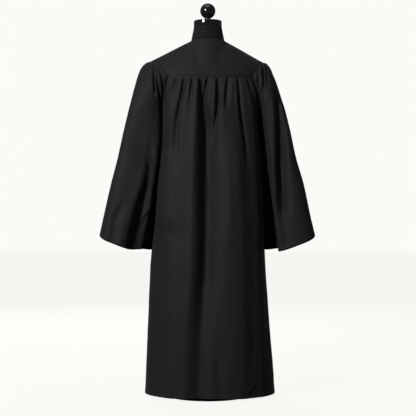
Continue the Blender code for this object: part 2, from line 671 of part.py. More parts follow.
def make_gown(collection):
    """All the cut pieces of the gown."""
    black = material("Black polyester", (0.020, 0.020, 0.021), 0.86)

    def backwards(_):
        return (0, 1, 0)

    def forwards(_):
        return (0, -1, 0)

    def up_and_back(_):
        return (0, 0.7, 0.7)

    def up_and_front(_):
        return (0, -0.7, 0.7)

    down = np.linspace(0, 1, YOKE_ROWS + 1)
    across = np.linspace(-1, 1, BACK_STEPS + 1)
    cloth("back_panel", across, BACK_HEIGHTS, back_panel, backwards, collection, black)
    across = np.linspace(-1, 1, YOKE_STEPS + 1)
    cloth("back_yoke", across, down, back_yoke, up_and_back, collection, black)
    for side, hand in ((1, "left"), (-1, "right")):
        across = np.linspace(0, 1, FRONT_STEPS + 1)
        cloth(
            f"front_panel_{hand}", across, FRONT_HEIGHTS, front_panel(side), forwards, collection, black
        )
        across = np.linspace(0, 1, FRONT_YOKE_STEPS + 1)
        cloth(f"front_yoke_{hand}", across, down, front_yoke(side), up_and_front, collection, black)

        def away_from_arm(middle, side=side):
            arm_x = side * (0.185 + 0.115 * (1.2 - middle.z) / 0.65)
            return (middle.x - arm_x, middle.y, 0)

        around = np.linspace(0, 1, SLEEVE_STEPS + 1)
        cloth(
            f"sleeve_{hand}", around, SLEEVE_STATIONS, sleeve(side), away_from_arm, collection, black
        )


def make_zip(collection):
    """The zip: its tape with the coil, the slider with its bridge, and the pull."""
    tape = material("Zip tape", (0.022, 0.022, 0.023), 0.7)
    metal = material("Black zip metal", (0.03, 0.03, 0.032), 0.32, 0.8)

    def forwards(_):
        return (0, -1, 0)

    beside = COIL_HALF + 0.0003
    across = (-ZIP_TAPE, -beside, -COIL_HALF, 0, COIL_HALF, beside, ZIP_TAPE)
    yoke_heights = np.linspace(V_POINT[1] - 0.003, FRONT_SEAM_HEIGHT, 6)
    panel_heights = [height for height in FRONT_HEIGHTS if ZIP_BOTTOM < height < FRONT_SEAM_HEIGHT]
    heights = np.concatenate([yoke_heights, panel_heights, [ZIP_BOTTOM]])
    cloth("zip_chain", across, heights, zip_strip, forwards, collection, tape, wall=ZIP_WALL)

    place, out = front_middle(np.array(SLIDER_HEIGHT))
    tilt = math.atan2(-out[1], -out[0])
    width, length, thick = SLIDER_SIZE
    rise = SEAM_GAP + thick / 2
    middle = place + out * rise
    turn = (math.pi / 2 + tilt, 0, 0)

    body = bmesh.new()
    bmesh.ops.create_cube(body, size=1)
    bmesh.ops.scale(body, vec=(width, length, thick), verts=body.verts)
    bmesh.ops.bevel(
        body, geom=body.edges, offset=0.0006, segments=1, affect="EDGES", profile=0.5, material=-1
    )
    slider = add_object("zip_slider", body, collection, metal)
    slider.location = (0, middle[0], middle[1])
    slider.rotation_euler = turn
    bridge = bridge_wire(collection, metal, thick)
    bridge.location = slider.location
    bridge.rotation_euler = turn
    join = slider.modifiers.new("Bridge", "BOOLEAN")
    join.operation = "UNION"
    join.solver = "EXACT"
    join.object = bridge

    pivot = place + out * (SEAM_GAP + thick + PIVOT_RISE)
    pull = pull_plate(collection, metal)
    pull.location = (0, pivot[0], pivot[1])
    pull.rotation_euler = turn


def bridge_wire(collection, finish, thick):
    """The arch that the pull hangs from, as a mesh to be joined to the slider."""
    foot = thick / 4
    shoulder = BRIDGE_RISE * 0.7
    top = thick / 2 + BRIDGE_RISE
    route = (
        (-BRIDGE_REACH, foot),
        (-BRIDGE_REACH, thick / 2 + shoulder),
        (-BRIDGE_REACH * 0.65, top),
        (BRIDGE_REACH * 0.65, top),
        (BRIDGE_REACH, thick / 2 + shoulder),
        (BRIDGE_REACH, foot),
    )
    curve = bpy.data.curves.new("bridge_route", "CURVE")
    curve.dimensions = "3D"
    curve.bevel_depth = BRIDGE_WIRE
    curve.bevel_resolution = 1
    curve.use_fill_caps = True
    spline = curve.splines.new("POLY")
    spline.points.add(len(route) - 1)
    for point, (y, z) in zip(spline.points, route):
        point.co = (0, y, z, 1)
    wire = bpy.data.objects.new("bridge_route", curve)
    collection.objects.link(wire)
    bpy.context.view_layer.update()
    graph = bpy.context.evaluated_depsgraph_get()
    mesh = bpy.data.meshes.new_from_object(wire.evaluated_get(graph))
    bpy.data.objects.remove(wire)
    welded = bmesh.new()
    welded.from_mesh(mesh)
    bmesh.ops.remove_doubles(welded, verts=welded.verts, dist=0.00001)
    bridge = add_object("bridge", welded, cutters_collection(), finish)
    bridge.hide_render = True
    bridge.display_type = "WIRE"
    return bridge


def pull_plate(collection, finish):
    """The flat tab with its eye. Its origin is on the bar, which is the hinge's axis."""
    width, length, thick = PULL_SIZE
    eye_width, eye_length = PULL_EYE
    top = PULL_BAR
    bottom = top - length
    waist = width * 0.36
    outline = (
        (-waist, top),
        (-waist, -eye_length - 0.003),
        (-width / 2, -eye_length - 0.007),
        (-width / 2, bottom + 0.003),
        (-width * 0.3, bottom),
        (width * 0.3, bottom),
        (width / 2, bottom + 0.003),
        (width / 2, -eye_length - 0.007),
        (waist, -eye_length - 0.003),
        (waist, top),
    )
    eye = (
        (-eye_width / 2, -PULL_BAR),
        (eye_width / 2, -PULL_BAR),
        (eye_width / 2, -PULL_BAR - eye_length),
        (-eye_width / 2, -PULL_BAR - eye_length),
    )
    curve = bpy.data.curves.new("zip_pull", "CURVE")
    curve.dimensions = "2D"
    curve.fill_mode = "BOTH"
    curve.extrude = thick / 2
    for corners in (outline, eye):
        spline = curve.splines.new("POLY")
        spline.points.add(len(corners) - 1)
        for point, (x, y) in zip(spline.points, corners):
            point.co = (x, y, 0, 1)
        spline.use_cyclic_u = True
    pull = bpy.data.objects.new("zip_pull", curve)
    collection.objects.link(pull)
    curve.materials.append(finish)
    return pull


def make_form(collection):
    """The dress form: the padded torso with its neck, the cap, the ball, the pole and the base."""
    jersey = material("Black form cover", (0.016, 0.016, 0.017), 0.9)
    gloss = material("Gloss black", (0.008, 0.008, 0.009), 0.12)
    paint = material("Black stand paint", (0.012, 0.012, 0.013), 0.35)

    def surface(around, height):
        angle = np.asarray(around) * 2 * math.pi
        side = curve_at(FORM["height"], FORM["side"], height)
        back = curve_at(FORM["height"], FORM["back"], height)
        front = curve_at(FORM["height"], FORM["front"], height)
        power = 2 / curve_at(FORM["height"], FORM["power"], height)
        x = side * np.sign(np.sin(angle)) * np.abs(np.sin(angle)) ** power
        depth = np.where(np.cos(angle) > 0, back, front)
        y = depth * np.sign(np.cos(angle)) * np.abs(np.cos(angle)) ** power
        return np.stack([x, y, height + 0 * x], -1)

    around = np.linspace(0, 1, FORM_STEPS + 1)
    grid = carried_grid(around, FORM["height"], surface)
    rims = [edge for edge in grid.edges if edge.is_boundary]
    bmesh.ops.holes_fill(grid, edges=rims, sides=0)
    bmesh.ops.recalc_face_normals(grid, faces=grid.faces)
    add_object("form_torso", grid, collection, jersey)

    edge = 0.003
    cap = (
        (0, CAP_TOP + 0.002),
        (CAP_RADIUS * 0.6, CAP_TOP + 0.0012),
        (CAP_RADIUS - edge, CAP_TOP - 0.0005),
        (CAP_RADIUS, CAP_TOP - edge),
        (CAP_RADIUS, CAP_BOTTOM + edge / 3),
        (CAP_RADIUS - edge / 3, CAP_BOTTOM),
        (0, CAP_BOTTOM),
    )
    turned("neck_cap", cap, 28, collection, gloss)

    stem_bottom = CAP_TOP + 0.002 + SEAM_GAP
    meeting = math.asin(STEM_RADIUS / BALL_RADIUS)
    ball = [
        (BALL_RADIUS * math.sin(turn), BALL_HEIGHT + BALL_RADIUS * math.cos(turn))
        for turn in np.linspace(0, math.pi - meeting, 12)
    ]
    flare = [(STEM_RADIUS * 1.1, stem_bottom + 0.0025), (STEM_RADIUS * 1.7, stem_bottom), (0, stem_bottom)]
    turned("finial", ball + flare, 24, collection, gloss)

    pole_bottom = BASE_THICKNESS + SEAM_GAP
    pole_top = TORSO_BOTTOM - SEAM_GAP
    pole = bmesh.new()
    bmesh.ops.create_cone(
        pole,
        cap_ends=True,
        segments=20,
        radius1=POLE_RADIUS,
        radius2=POLE_RADIUS,
        depth=pole_top - pole_bottom,
    )
    bmesh.ops.translate(pole, vec=(0, 0, (pole_top + pole_bottom) / 2), verts=pole.verts)
    add_object("pole", pole, collection, paint)

    base = (
        (0, BASE_THICKNESS),
        (BASE_RADIUS - 0.030, BASE_THICKNESS),
        (BASE_RADIUS - 0.004, BASE_THICKNESS * 0.55),
        (BASE_RADIUS, BASE_THICKNESS * 0.3),
        (BASE_RADIUS, 0),
        (0, 0),
    )
    turned("base", base, 32, collection, paint)


def cutters_collection():
    """The collection of the helpers that are joined or cut."""
    name = "helpers"
    if name not in bpy.data.collections:
        helpers = bpy.data.collections.new(name)
        bpy.context.scene.collection.children.link(helpers)
    return bpy.data.collections[name]


def main():
    for old in list(bpy.data.objects):
        bpy.data.objects.remove(old, do_unlink=True)
    collection = bpy.data.collections.new("graduation_gown")
    bpy.context.scene.collection.children.link(collection)
    make_gown(collection)
    make_zip(collection)
    make_form(collection)


main()
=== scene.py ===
import math

import bmesh
import bpy
import numpy as np
from mathutils import Matrix, Vector


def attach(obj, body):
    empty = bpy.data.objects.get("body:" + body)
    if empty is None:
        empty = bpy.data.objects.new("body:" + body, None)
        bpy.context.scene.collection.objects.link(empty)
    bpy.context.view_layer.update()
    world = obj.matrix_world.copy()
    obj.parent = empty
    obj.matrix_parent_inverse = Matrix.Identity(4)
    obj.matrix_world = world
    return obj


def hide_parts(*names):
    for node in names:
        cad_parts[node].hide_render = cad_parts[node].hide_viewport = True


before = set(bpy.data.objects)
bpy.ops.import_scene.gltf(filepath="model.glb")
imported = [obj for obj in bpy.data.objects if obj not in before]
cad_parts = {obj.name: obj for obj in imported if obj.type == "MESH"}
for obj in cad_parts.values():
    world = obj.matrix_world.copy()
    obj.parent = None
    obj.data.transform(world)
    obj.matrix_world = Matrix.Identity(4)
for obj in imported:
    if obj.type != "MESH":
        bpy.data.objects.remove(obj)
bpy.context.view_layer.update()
gownBody = "gown_and_form"
print("frame loaded")

camera = {
    "distance": 4.3,  # from the middle of the gown
    "height": 0.682,
    "aside": -0.0007,
    "lens": 101.9,  # millimetres
    "sensor": 36.0,
}


def makeCamera():
    data = bpy.data.cameras.new("photoCamera")
    data.sensor_width = camera["sensor"]
    data.lens = camera["lens"]
    placed = bpy.data.objects.new("photoCamera", data)
    placed.location = (camera["aside"], camera["distance"], camera["height"])
    placed.rotation_euler = (math.radians(90), 0, math.radians(180))
    bpy.context.scene.collection.objects.link(placed)
    bpy.context.scene.camera = placed


makeCamera()

studio = {
    "background": (0.965, 0.955, 0.935),
    "ambient": 0.10,
    "floorRadius": 14.0,
    "floorGlow": 0.94,
    "lights": (
        # name, place, looks at, size, watts, seen in gloss
        ("key", (2.05, 2.70, 2.10), (0, 0, 0.66), 0.6, 96, True),
        ("frontKey", (0.90, -3.10, 2.40), (0, 0, 0.7), 0.8, 150, False),
        ("top", (0.20, 0.40, 3.30), (0, 0, 0.8), 1.6, 8, True),
    ),
}


def makeLight(name, place, target, size, watts, inGloss):
    data = bpy.data.lights.new(name, "AREA")
    data.size = size
    data.energy = watts
    placed = bpy.data.objects.new(name, data)
    placed.location = place
    placed.rotation_euler = (Vector(place) - Vector(target)).to_track_quat("Z", "Y").to_euler()
    placed.visible_camera = False
    placed.visible_glossy = inGloss
    bpy.context.scene.collection.objects.link(placed)


def makeStudio():
    bpy.context.scene.view_settings.view_transform = "Standard"
    world = bpy.data.worlds.new("studio")
    bpy.context.scene.world = world
    world.use_nodes = True
    tree = world.node_tree
    back = tree.nodes["Background"]
    back.inputs["Color"].default_value = (*studio["background"], 1)
    seen = tree.nodes.new("ShaderNodeLightPath")
    level = tree.nodes.new("ShaderNodeMapRange")
    level.inputs["To Min"].default_value = studio["ambient"]
    level.inputs["To Max"].default_value = 1
    tree.links.new(seen.outputs["Is Camera Ray"], level.inputs["Value"])
    tree.links.new(level.outputs["Result"], back.inputs["Strength"])
    for light in studio["lights"]:
        makeLight(*light)

    floor = bmesh.new()
    bmesh.ops.create_circle(floor, cap_ends=True, segments=96, radius=studio["floorRadius"])
    data = bpy.data.meshes.new("floor")
    floor.to_mesh(data)
    floor.free()
    placed = bpy.data.objects.new("floor", data)
    # the cloth is lit by the lamps and the room, not from below
    placed.visible_diffuse = False
    placed.visible_glossy = False
    bpy.context.scene.collection.objects.link(placed)
    paint = bpy.data.materials.new("Pale floor")
    paint.use_nodes = True
    shader = paint.node_tree.nodes["Principled BSDF"]
    glow = studio["floorGlow"]
    shader.inputs["Base Color"].default_value = (0.05, 0.049, 0.048, 1)
    shader.inputs["Roughness"].default_value = 0.9
    shader.inputs["Specular IOR Level"].default_value = 0.1
    glowColour = [glow * part for part in studio["background"]]
    shader.inputs["Emission Color"].default_value = (*glowColour, 1)
    shader.inputs["Emission Strength"].default_value = 1
    data.materials.append(paint)


makeStudio()
print("camera and studio made")


# Shapes worked out by height


def columnsOf(names, rows):
    return {name: np.array([row[i] for row in rows], float) for i, name in enumerate(names)}


def curveAt(keys, values, at):
    # a smooth curve through the rows, which never overshoots them
    order = np.argsort(keys)
    keys = keys[order]
    values = values[order]
    at = np.clip(np.asarray(at, float), keys[0], keys[-1])
    step = np.diff(keys)
    rise = np.diff(values) / step
    slope = np.empty_like(values)
    slope[0] = rise[0]
    slope[-1] = rise[-1]
    product = rise[:-1] * rise[1:]
    total = rise[:-1] + rise[1:]
    slope[1:-1] = np.where(product > 0, 2 * product / np.where(total == 0, 1, total), 0)
    i = np.clip(np.searchsorted(keys, at) - 1, 0, len(keys) - 2)
    t = (at - keys[i]) / step[i]
    start = values[i] + t * t * (3 - 2 * t) * (values[i + 1] - values[i])
    bend = t * (1 - t) ** 2 * slope[i] - t * t * (1 - t) * slope[i + 1]
    return start + bend * step[i]


def valueAt(shape, name, at, key="height"):
    return curveAt(shape[key], shape[name], at)


def signedPower(value, power):
    return np.sign(value) * np.abs(value) ** power


def bell(off, width):
    return np.exp(-((off / width) ** 2))


def smoothStep(low, high, value):
    t = np.clip((np.asarray(value, float) - low) / (high - low), 0, 1)
    return t * t * (3 - 2 * t)


def softHills(a, b, seed):
    # smooth random hills from -1 to 1, one for each whole step of a and of b
    hills = np.random.RandomState(seed).uniform(-1, 1, (61, 61))
    column = np.floor(a).astype(int)
    row = np.floor(b).astype(int)
    s = smoothStep(0, 1, a - column)
    t = smoothStep(0, 1, b - row)

    def at(right, up):
        return hills[(row + up) % 61, (column + right) % 61]

    low = at(0, 0) * (1 - s) + at(1, 0) * s
    high = at(0, 1) * (1 - s) + at(1, 1) * s
    return low * (1 - t) + high * t


foldColumns = ("fold", "height", "x", "width", "depth")
foldShape = {
    "steep": 0.72,
    "gentle": 1.12,
    "deeper": 1.25,
    "lip": 0.22,
    "lipPlace": 1.35,
    "lipWidth": 0.60,
}


def foldDepth(rows, x, height, lit=1, steep=0.0):
    # how far the long folds press the cloth in at a place
    folds = columnsOf(foldColumns, rows)
    depth = np.zeros(np.broadcast(x, height).shape)
    for number in np.unique(folds["fold"]):
        own = folds["fold"] == number
        heights = folds["height"][own]
        middle = curveAt(heights, folds["x"][own], height)
        width = curveAt(heights, folds["width"][own], height)
        deep = curveAt(heights, folds["depth"][own], height)
        off = lit * (x - middle) / width
        # the cloth rolls over one side of a pleat and slopes out of the other
        sharp = np.where(off > 0, max(foldShape["steep"], steep), foldShape["gentle"])
        beyond = (off - foldShape["lipPlace"]) / foldShape["lipWidth"]
        lip = foldShape["lip"] * np.exp(-(beyond**2))
        trough = foldShape["deeper"] * np.exp(-((off / sharp) ** 2)) - lip
        depth += np.where(deep > 0, deep * trough, deep * np.exp(-(off**2)))
    return depth


def creaseDepth(rows, x, height):
    # short creases from one place to another, a trough with a low ridge along one side
    depth = np.zeros(np.broadcast(x, height).shape)
    for startX, startZ, endX, endZ, width, deep in rows:
        wayX = endX - startX
        wayZ = endZ - startZ
        length = math.hypot(wayX, wayZ)
        along = ((x - startX) * wayX + (height - startZ) * wayZ) / length**2
        aside = ((x - startX) * wayZ - (height - startZ) * wayX) / length
        fade = smoothStep(-0.15, 0.3, along) * smoothStep(1.15, 0.7, along)
        trough = np.exp(-((aside / width) ** 2))
        ridge = 0.5 * np.exp(-((aside / width - 1.8) ** 2))
        depth += deep * fade * (trough - ridge)
    return depth


gown = {
    "wall": 0.0008,
    "seamGap": 0.0004,
    "yokeSeamGap": 0.0006,
    "shoulderSeamGap": 0.0014,
    "armholeGap": 0.0009,
    "pressed": 0.003,
    "foldStart": 0.018,
    "backPuff": 0.0035,
    "puffFade": (0.04, 0.14),
    "plainSide": (0.94, 0.92),
    "zipPlacket": (0.014, 0.024),
    "underarm": 1.000,
    "sleeveHead": 0.34,
    "capGather": 0.05,
    "capPuff": 0.007,
    "innerSquare": 3.1,
    "outerSquare": 4.0,
    "cuffDroop": 0.008,
    "leftCorner": 0.7,
    "hem": 0.011,
    "backSeam": 1.154,
    "frontSeam": 1.150,
    "neckHeight": 1.2918,
    "neckSide": 0.062,
    "neckBack": 0.060,
    "shoulderLine": -0.005,
    "vPoint": (-0.105, 1.208),
    "vPull": (0.060, -0.078, 1.242),
    "backNeckShare": 0.36,
    "frontNeckShare": 0.45,
    "hemBand": 0.012,
    "cuffLength": 0.65,
    "broadEdge": 0.008,
    "bladeWidth": 0.020,
    "hemRise": 0.0004,
}

bodyColumns = ("height", "left", "right", "back", "backEdge", "front", "frontEdge", "power")
bodyRows = (
    (1.164, 0.14, 0.1565, 0.1, 0.078, 0.12, 0.094, 2.5),
    (1.13, 0.149, 0.167, 0.1065, 0.072, 0.13, 0.088, 2.4),
    (1.09, 0.158, 0.1745, 0.113, 0.06, 0.138, 0.074, 2.45),
    (1.045, 0.165, 0.179, 0.119, 0.038, 0.144, 0.046, 2.5),
    (1.02, 0.166, 0.18, 0.1215, 0.0255, 0.146, 0.03, 2.5),
    (1.006, 0.1665, 0.18, 0.123, 0.0125, 0.147, 0.015, 2.5),
    (1.0, 0.1665, 0.18, 0.124, 0.00006, 0.1475, 0.00006, 2.5),
    (0.93, 0.167, 0.186, 0.129, 0.00006, 0.149, 0.00006, 2.5),
    (0.875, 0.1725, 0.191, 0.133, 0.00006, 0.15, 0.00006, 2.48),
    (0.784, 0.181, 0.1955, 0.139, 0.00006, 0.1515, 0.00006, 2.44),
    (0.697, 0.187, 0.198, 0.144, 0.00006, 0.1535, 0.00006, 2.4),
    (0.609, 0.194, 0.2005, 0.149, 0.00006, 0.156, 0.00006, 2.34),
    (0.536, 0.204, 0.2025, 0.153, 0.00006, 0.159, 0.00006, 2.3),
    (0.434, 0.211, 0.209, 0.158, 0.00006, 0.163, 0.00006, 2.25),
    (0.259, 0.218, 0.2235, 0.165, 0.00006, 0.169, 0.00006, 2.2),
    (0.083, 0.2256, 0.238, 0.171, 0.00006, 0.175, 0.00006, 2.15),
    (0.011, 0.229, 0.2416, 0.174, 0.00006, 0.178, 0.00006, 2.15),
)
shoulderEnds = {1: (0.207, 1.2186), -1: (0.199, 1.2150)}  # how far out, how high

sleeveColumns = (
    "along", "overLeft", "overRight", "overHeight", "underLeft", "underRight", "underHeight",
    "halfDepth", "middle", "sag",
)
sleeveRows = (
    (0.0, 0.207, 0.199, 1.2186, 0.1665, 0.1805, 1.0, 0.086, -0.008, 0.0),
    (0.04, 0.22, 0.212, 1.208, 0.172, 0.192, 0.984, 0.088, -0.008, 0.0),
    (0.1, 0.24, 0.227, 1.189, 0.1745, 0.1955, 0.955, 0.09, -0.008, 0.0),
    (0.16, 0.253, 0.239, 1.162, 0.1765, 0.1975, 0.925, 0.09, -0.008, 0.001),
    (0.24, 0.267, 0.257, 1.118, 0.1795, 0.1995, 0.885, 0.089, -0.008, 0.002),
    (0.34, 0.284, 0.278, 1.05, 0.184, 0.201, 0.835, 0.089, -0.008, 0.004),
    (0.46, 0.304, 0.298, 0.967, 0.1895, 0.204, 0.775, 0.093, -0.008, 0.006),
    (0.58, 0.325, 0.319, 0.87, 0.194, 0.2045, 0.715, 0.1, -0.009, 0.008),
    (0.72, 0.35, 0.348, 0.77, 0.2, 0.207, 0.65, 0.109, -0.01, 0.011),
    (0.86, 0.371, 0.368, 0.676, 0.207, 0.21, 0.59, 0.118, -0.011, 0.014),
    (1.0, 0.39, 0.388, 0.59, 0.214, 0.215, 0.537, 0.126, -0.012, 0.017),
)

backFolds = (
    (1, 1.16, 0.113, 0.005, 0.006),
    (1, 1.125, 0.12, 0.006, 0.004),
    (1, 1.105, 0.126, 0.007, 0.0),
    (2, 1.16, 0.085, 0.005, 0.006),
    (2, 1.12, 0.089, 0.006, 0.009),
    (2, 1.06, 0.101, 0.008, 0.01),
    (2, 1.0, 0.112, 0.01, 0.009),
    (2, 0.93, 0.117, 0.013, 0.007),
    (2, 0.8, 0.118, 0.018, 0.0),
    (3, 1.16, 0.0551, 0.005, 0.006),
    (3, 1.11, 0.06, 0.006, 0.007),
    (3, 1.08, 0.062, 0.007, 0.003),
    (3, 1.03, 0.065, 0.009, 0.0),
    (4, 1.16, 0.027, 0.006, 0.008),
    (4, 1.11, 0.025, 0.01, 0.018),
    (4, 1.04, 0.0165, 0.019, 0.026),
    (4, 0.97, 0.0075, 0.028, 0.033),
    (4, 0.84, 0.005, 0.0335, 0.034),
    (4, 0.7, 0.005, 0.035, 0.033),
    (4, 0.45, 0.0085, 0.0355, 0.031),
    (4, 0.33, 0.017, 0.036, 0.024),
    (4, 0.2, 0.025, 0.0385, 0.018),
    (4, 0.011, 0.03, 0.042, 0.016),
    (5, 1.16, -0.0007, 0.0065, 0.008),
    (5, 1.095, 0.012, 0.008, 0.01),
    (5, 1.07, 0.018, 0.009, 0.0),
    (6, 1.16, -0.0356, 0.0075, 0.009),
    (6, 1.06, -0.0345, 0.009, 0.013),
    (6, 0.98, -0.027, 0.011, 0.009),
    (6, 0.88, -0.018, 0.015, 0.0),
    (7, 1.16, -0.0715, 0.0065, 0.008),
    (7, 1.095, -0.0665, 0.008, 0.008),
    (7, 1.04, -0.0645, 0.009, 0.0),
    (8, 1.16, -0.1074, 0.006, 0.007),
    (8, 1.04, -0.115, 0.008, 0.011),
    (8, 0.93, -0.127, 0.0085, 0.009),
    (8, 0.82, -0.14, 0.01, 0.0),
    (9, 1.16, -0.14, 0.006, 0.006),
    (9, 1.1, -0.154, 0.008, 0.005),
    (9, 1.05, -0.162, 0.009, 0.0),
    (11, 0.7, 0.115, 0.03, 0.0),
    (11, 0.35, 0.115, 0.03, -0.006),
    (11, 0.011, 0.125, 0.032, -0.008),
    (12, 0.5, -0.04, 0.026, 0.0),
    (12, 0.011, -0.042, 0.03, 0.006),
)
# The soft edge of the right half with the widths to its left and right, and a low swell past it
broadColumns = ("height", "x", "leftWidth", "rightWidth", "rise", "blade", "bladeRise")
broadRows = (
    (1.13, -0.1, 0.045, 0.02, 0.0, -0.157, 0.0),
    (1.07, -0.1, 0.05, 0.026, 0.001, -0.157, 0.009),
    (1.0, -0.1, 0.055, 0.034, 0.006, -0.158, 0.01),
    (0.9, -0.103, 0.06, 0.036, 0.011, -0.162, 0.01),
    (0.85, -0.105, 0.06, 0.038, 0.013, -0.165, 0.01),
    (0.6, -0.113, 0.065, 0.042, 0.017, -0.173, 0.011),
    (0.3, -0.12, 0.07, 0.046, 0.017, -0.182, 0.009),
    (0.011, -0.118, 0.07, 0.046, 0.014, -0.19, 0.004),
)
# Short creases: from x and height, to x and height, half width, depth
backCreases = (
    (0.112, 1.108, 0.137, 1.09, 0.005, 0.002),
    (0.045, 0.397, 0.01, 0.425, 0.0035, 0.0014),
    (-0.113, 0.39, -0.191, 0.439, 0.0038, 0.0017),
    (-0.092, 0.344, -0.173, 0.379, 0.0036, 0.0016),
    (-0.117, 0.312, -0.1345, 0.351, 0.004, 0.002),
    (-0.1275, 0.432, -0.1486, 0.4566, 0.003, 0.0013),
    (-0.115, 0.295, -0.118, 0.245, 0.003, 0.0012),
    (0.133, 0.203, 0.0767, 0.2276, 0.004, 0.0011),
    (0.112, 0.1924, 0.06, 0.1853, 0.0036, 0.001),
    (0.059, 0.218, 0.031, 0.204, 0.0036, 0.0013),
    (0.01, 0.189, -0.029, 0.193, 0.0036, 0.001),
    (-0.156, 0.235, -0.159, 0.165, 0.004, 0.0018),
    (-0.138, 0.02, -0.177, 0.059, 0.004, 0.0022),
    (0.077, 0.062, 0.041, 0.084, 0.0036, 0.0014),
    (0.195, 0.045, 0.15, 0.025, 0.004, 0.0016),
    (-0.152, 1.07, -0.166, 1.03, 0.004, 0.0016),
    (0.09, 1.095, 0.072, 1.12, 0.004, 0.0014),
    (-0.042, 1.138, -0.064, 1.131, 0.0035, 0.0018),
    (-0.045, 1.13, -0.07, 1.142, 0.0035, 0.0012),
    (-0.032, 0.147, -0.053, 0.01, 0.009, 0.002),
    (-0.052, 0.95, -0.06, 0.56, 0.011, 0.0016),
    (0.145, 0.92, 0.12, 0.82, 0.009, 0.0014),
    (0.15, 0.64, 0.105, 0.55, 0.01, 0.0012),
    (-0.01, 0.78, 0.005, 0.64, 0.009, 0.0012),
)

frontFolds = (
    (1, 1.146, 0.03, 0.0065, 0.007),
    (1, 1.08, 0.031, 0.0085, 0.012),
    (1, 0.93, 0.033, 0.012, 0.014),
    (1, 0.5, 0.042, 0.019, 0.016),
    (1, 0.011, 0.056, 0.026, 0.014),
    (2, 1.146, 0.058, 0.007, 0.008),
    (2, 1.08, 0.061, 0.0085, 0.011),
    (2, 0.95, 0.068, 0.012, 0.0),
    (3, 1.146, 0.086, 0.007, 0.008),
    (3, 1.05, 0.091, 0.0095, 0.012),
    (3, 0.85, 0.1, 0.015, 0.01),
    (3, 0.45, 0.115, 0.022, 0.012),
    (3, 0.011, 0.135, 0.028, 0.014),
    (4, 1.146, 0.113, 0.007, 0.007),
    (4, 1.08, 0.12, 0.0085, 0.009),
    (4, 0.96, 0.128, 0.011, 0.0),
    (5, 0.8, 0.072, 0.022, 0.0),
    (5, 0.4, 0.08, 0.026, -0.007),
    (5, 0.011, 0.095, 0.028, -0.01),
)
frontCreases = (
    (0.05, 1.13, 0.045, 1.06, 0.0045, 0.0018),
    (0.098, 1.12, 0.103, 1.05, 0.0045, 0.0018),
    (0.07, 0.82, 0.12, 0.76, 0.008, 0.0016),
    (0.15, 0.62, 0.1, 0.57, 0.008, 0.0018),
    (0.06, 0.41, 0.12, 0.36, 0.008, 0.002),
    (0.16, 0.28, 0.11, 0.22, 0.008, 0.002),
    (0.08, 0.1, 0.13, 0.05, 0.007, 0.0022),
)

leftSleeveFolds = (
    (1, 1.19, 0.176, 0.003, 0.005),
    (1, 1.155, 0.167, 0.0036, 0.009),
    (1, 1.11, 0.161, 0.004, 0.01),
    (1, 1.06, 0.159, 0.004, 0.006),
    (1, 1.02, 0.159, 0.005, 0.0),
    (2, 1.205, 0.187, 0.003, 0.003),
    (2, 1.16, 0.1845, 0.0034, 0.009),
    (2, 1.12, 0.1795, 0.0036, 0.011),
    (2, 1.07, 0.172, 0.004, 0.008),
    (2, 1.03, 0.168, 0.0045, 0.0),
    (3, 1.2, 0.1955, 0.0034, 0.004),
    (3, 1.155, 0.1935, 0.0036, 0.012),
    (3, 1.115, 0.192, 0.0036, 0.011),
    (3, 1.08, 0.189, 0.0045, 0.0),
    (6, 1.205, 0.212, 0.004, 0.003),
    (6, 1.15, 0.215, 0.005, 0.0),
    (4, 0.93, 0.205, 0.011, 0.0),
    (4, 0.85, 0.203, 0.016, 0.006),
    (4, 0.8, 0.204, 0.0205, 0.013),
    (4, 0.75, 0.21, 0.025, 0.019),
    (4, 0.7, 0.224, 0.029, 0.023),
    (4, 0.6, 0.246, 0.036, 0.027),
    (4, 0.54, 0.258, 0.04, 0.028),
    (7, 0.76, 0.195, 0.03, 0.0),
    (7, 0.68, 0.2, 0.034, 0.008),
    (7, 0.6, 0.205, 0.04, 0.016),
    (7, 0.54, 0.208, 0.044, 0.019),
    (5, 0.72, 0.29, 0.016, 0.0),
    (5, 0.64, 0.33, 0.018, 0.006),
    (5, 0.56, 0.34, 0.018, 0.006),
)
leftSleeveCreases = (
    (0.222, 0.869, 0.201, 0.798, 0.005, 0.003),
    (0.246, 0.759, 0.219, 0.666, 0.006, 0.0035),
    (0.219, 0.645, 0.251, 0.548, 0.006, 0.004),
    (0.193, 0.68, 0.27, 0.542, 0.007, -0.004),
    (0.193, 0.779, 0.22, 0.76, 0.0026, 0.0013),
    (0.193, 0.76, 0.222, 0.742, 0.0026, 0.0013),
    (0.194, 0.743, 0.212, 0.73, 0.0024, 0.001),
)
rightSleeveFolds = (
    (1, 1.2, 0.179, 0.003, 0.005),
    (1, 1.15, 0.18, 0.0036, 0.007),
    (1, 1.11, 0.179, 0.0045, 0.006),
    (1, 1.05, 0.183, 0.007, 0.01),
    (1, 0.9, 0.196, 0.011, 0.022),
    (1, 0.7, 0.207, 0.015, 0.03),
    (1, 0.54, 0.217, 0.022, 0.034),
    (2, 1.2, 0.196, 0.0034, 0.006),
    (2, 1.14, 0.2, 0.004, 0.009),
    (2, 1.095, 0.198, 0.0045, 0.004),
    (2, 1.06, 0.192, 0.006, 0.0),
    (3, 1.2, 0.208, 0.0036, 0.004),
    (3, 1.14, 0.212, 0.005, 0.004),
    (3, 1.09, 0.208, 0.006, 0.0),
    (4, 1.14, 0.244, 0.011, 0.0),
    (4, 1.07, 0.252, 0.0135, 0.014),
    (4, 0.95, 0.261, 0.016, 0.023),
    (4, 0.75, 0.262, 0.0165, 0.026),
    (4, 0.67, 0.264, 0.016, 0.02),
    (4, 0.645, 0.266, 0.016, 0.008),
    (4, 0.6, 0.271, 0.02, 0.007),
    (4, 0.54, 0.275, 0.024, 0.008),
)
rightSleeveCreases = (
    (0.235, 0.657, 0.365, 0.647, 0.0026, 0.0009),
    (0.211, 1.01, 0.248, 0.75, 0.008, -0.0025),
    (0.21, 1.11, 0.199, 1.06, 0.005, 0.0025),
)
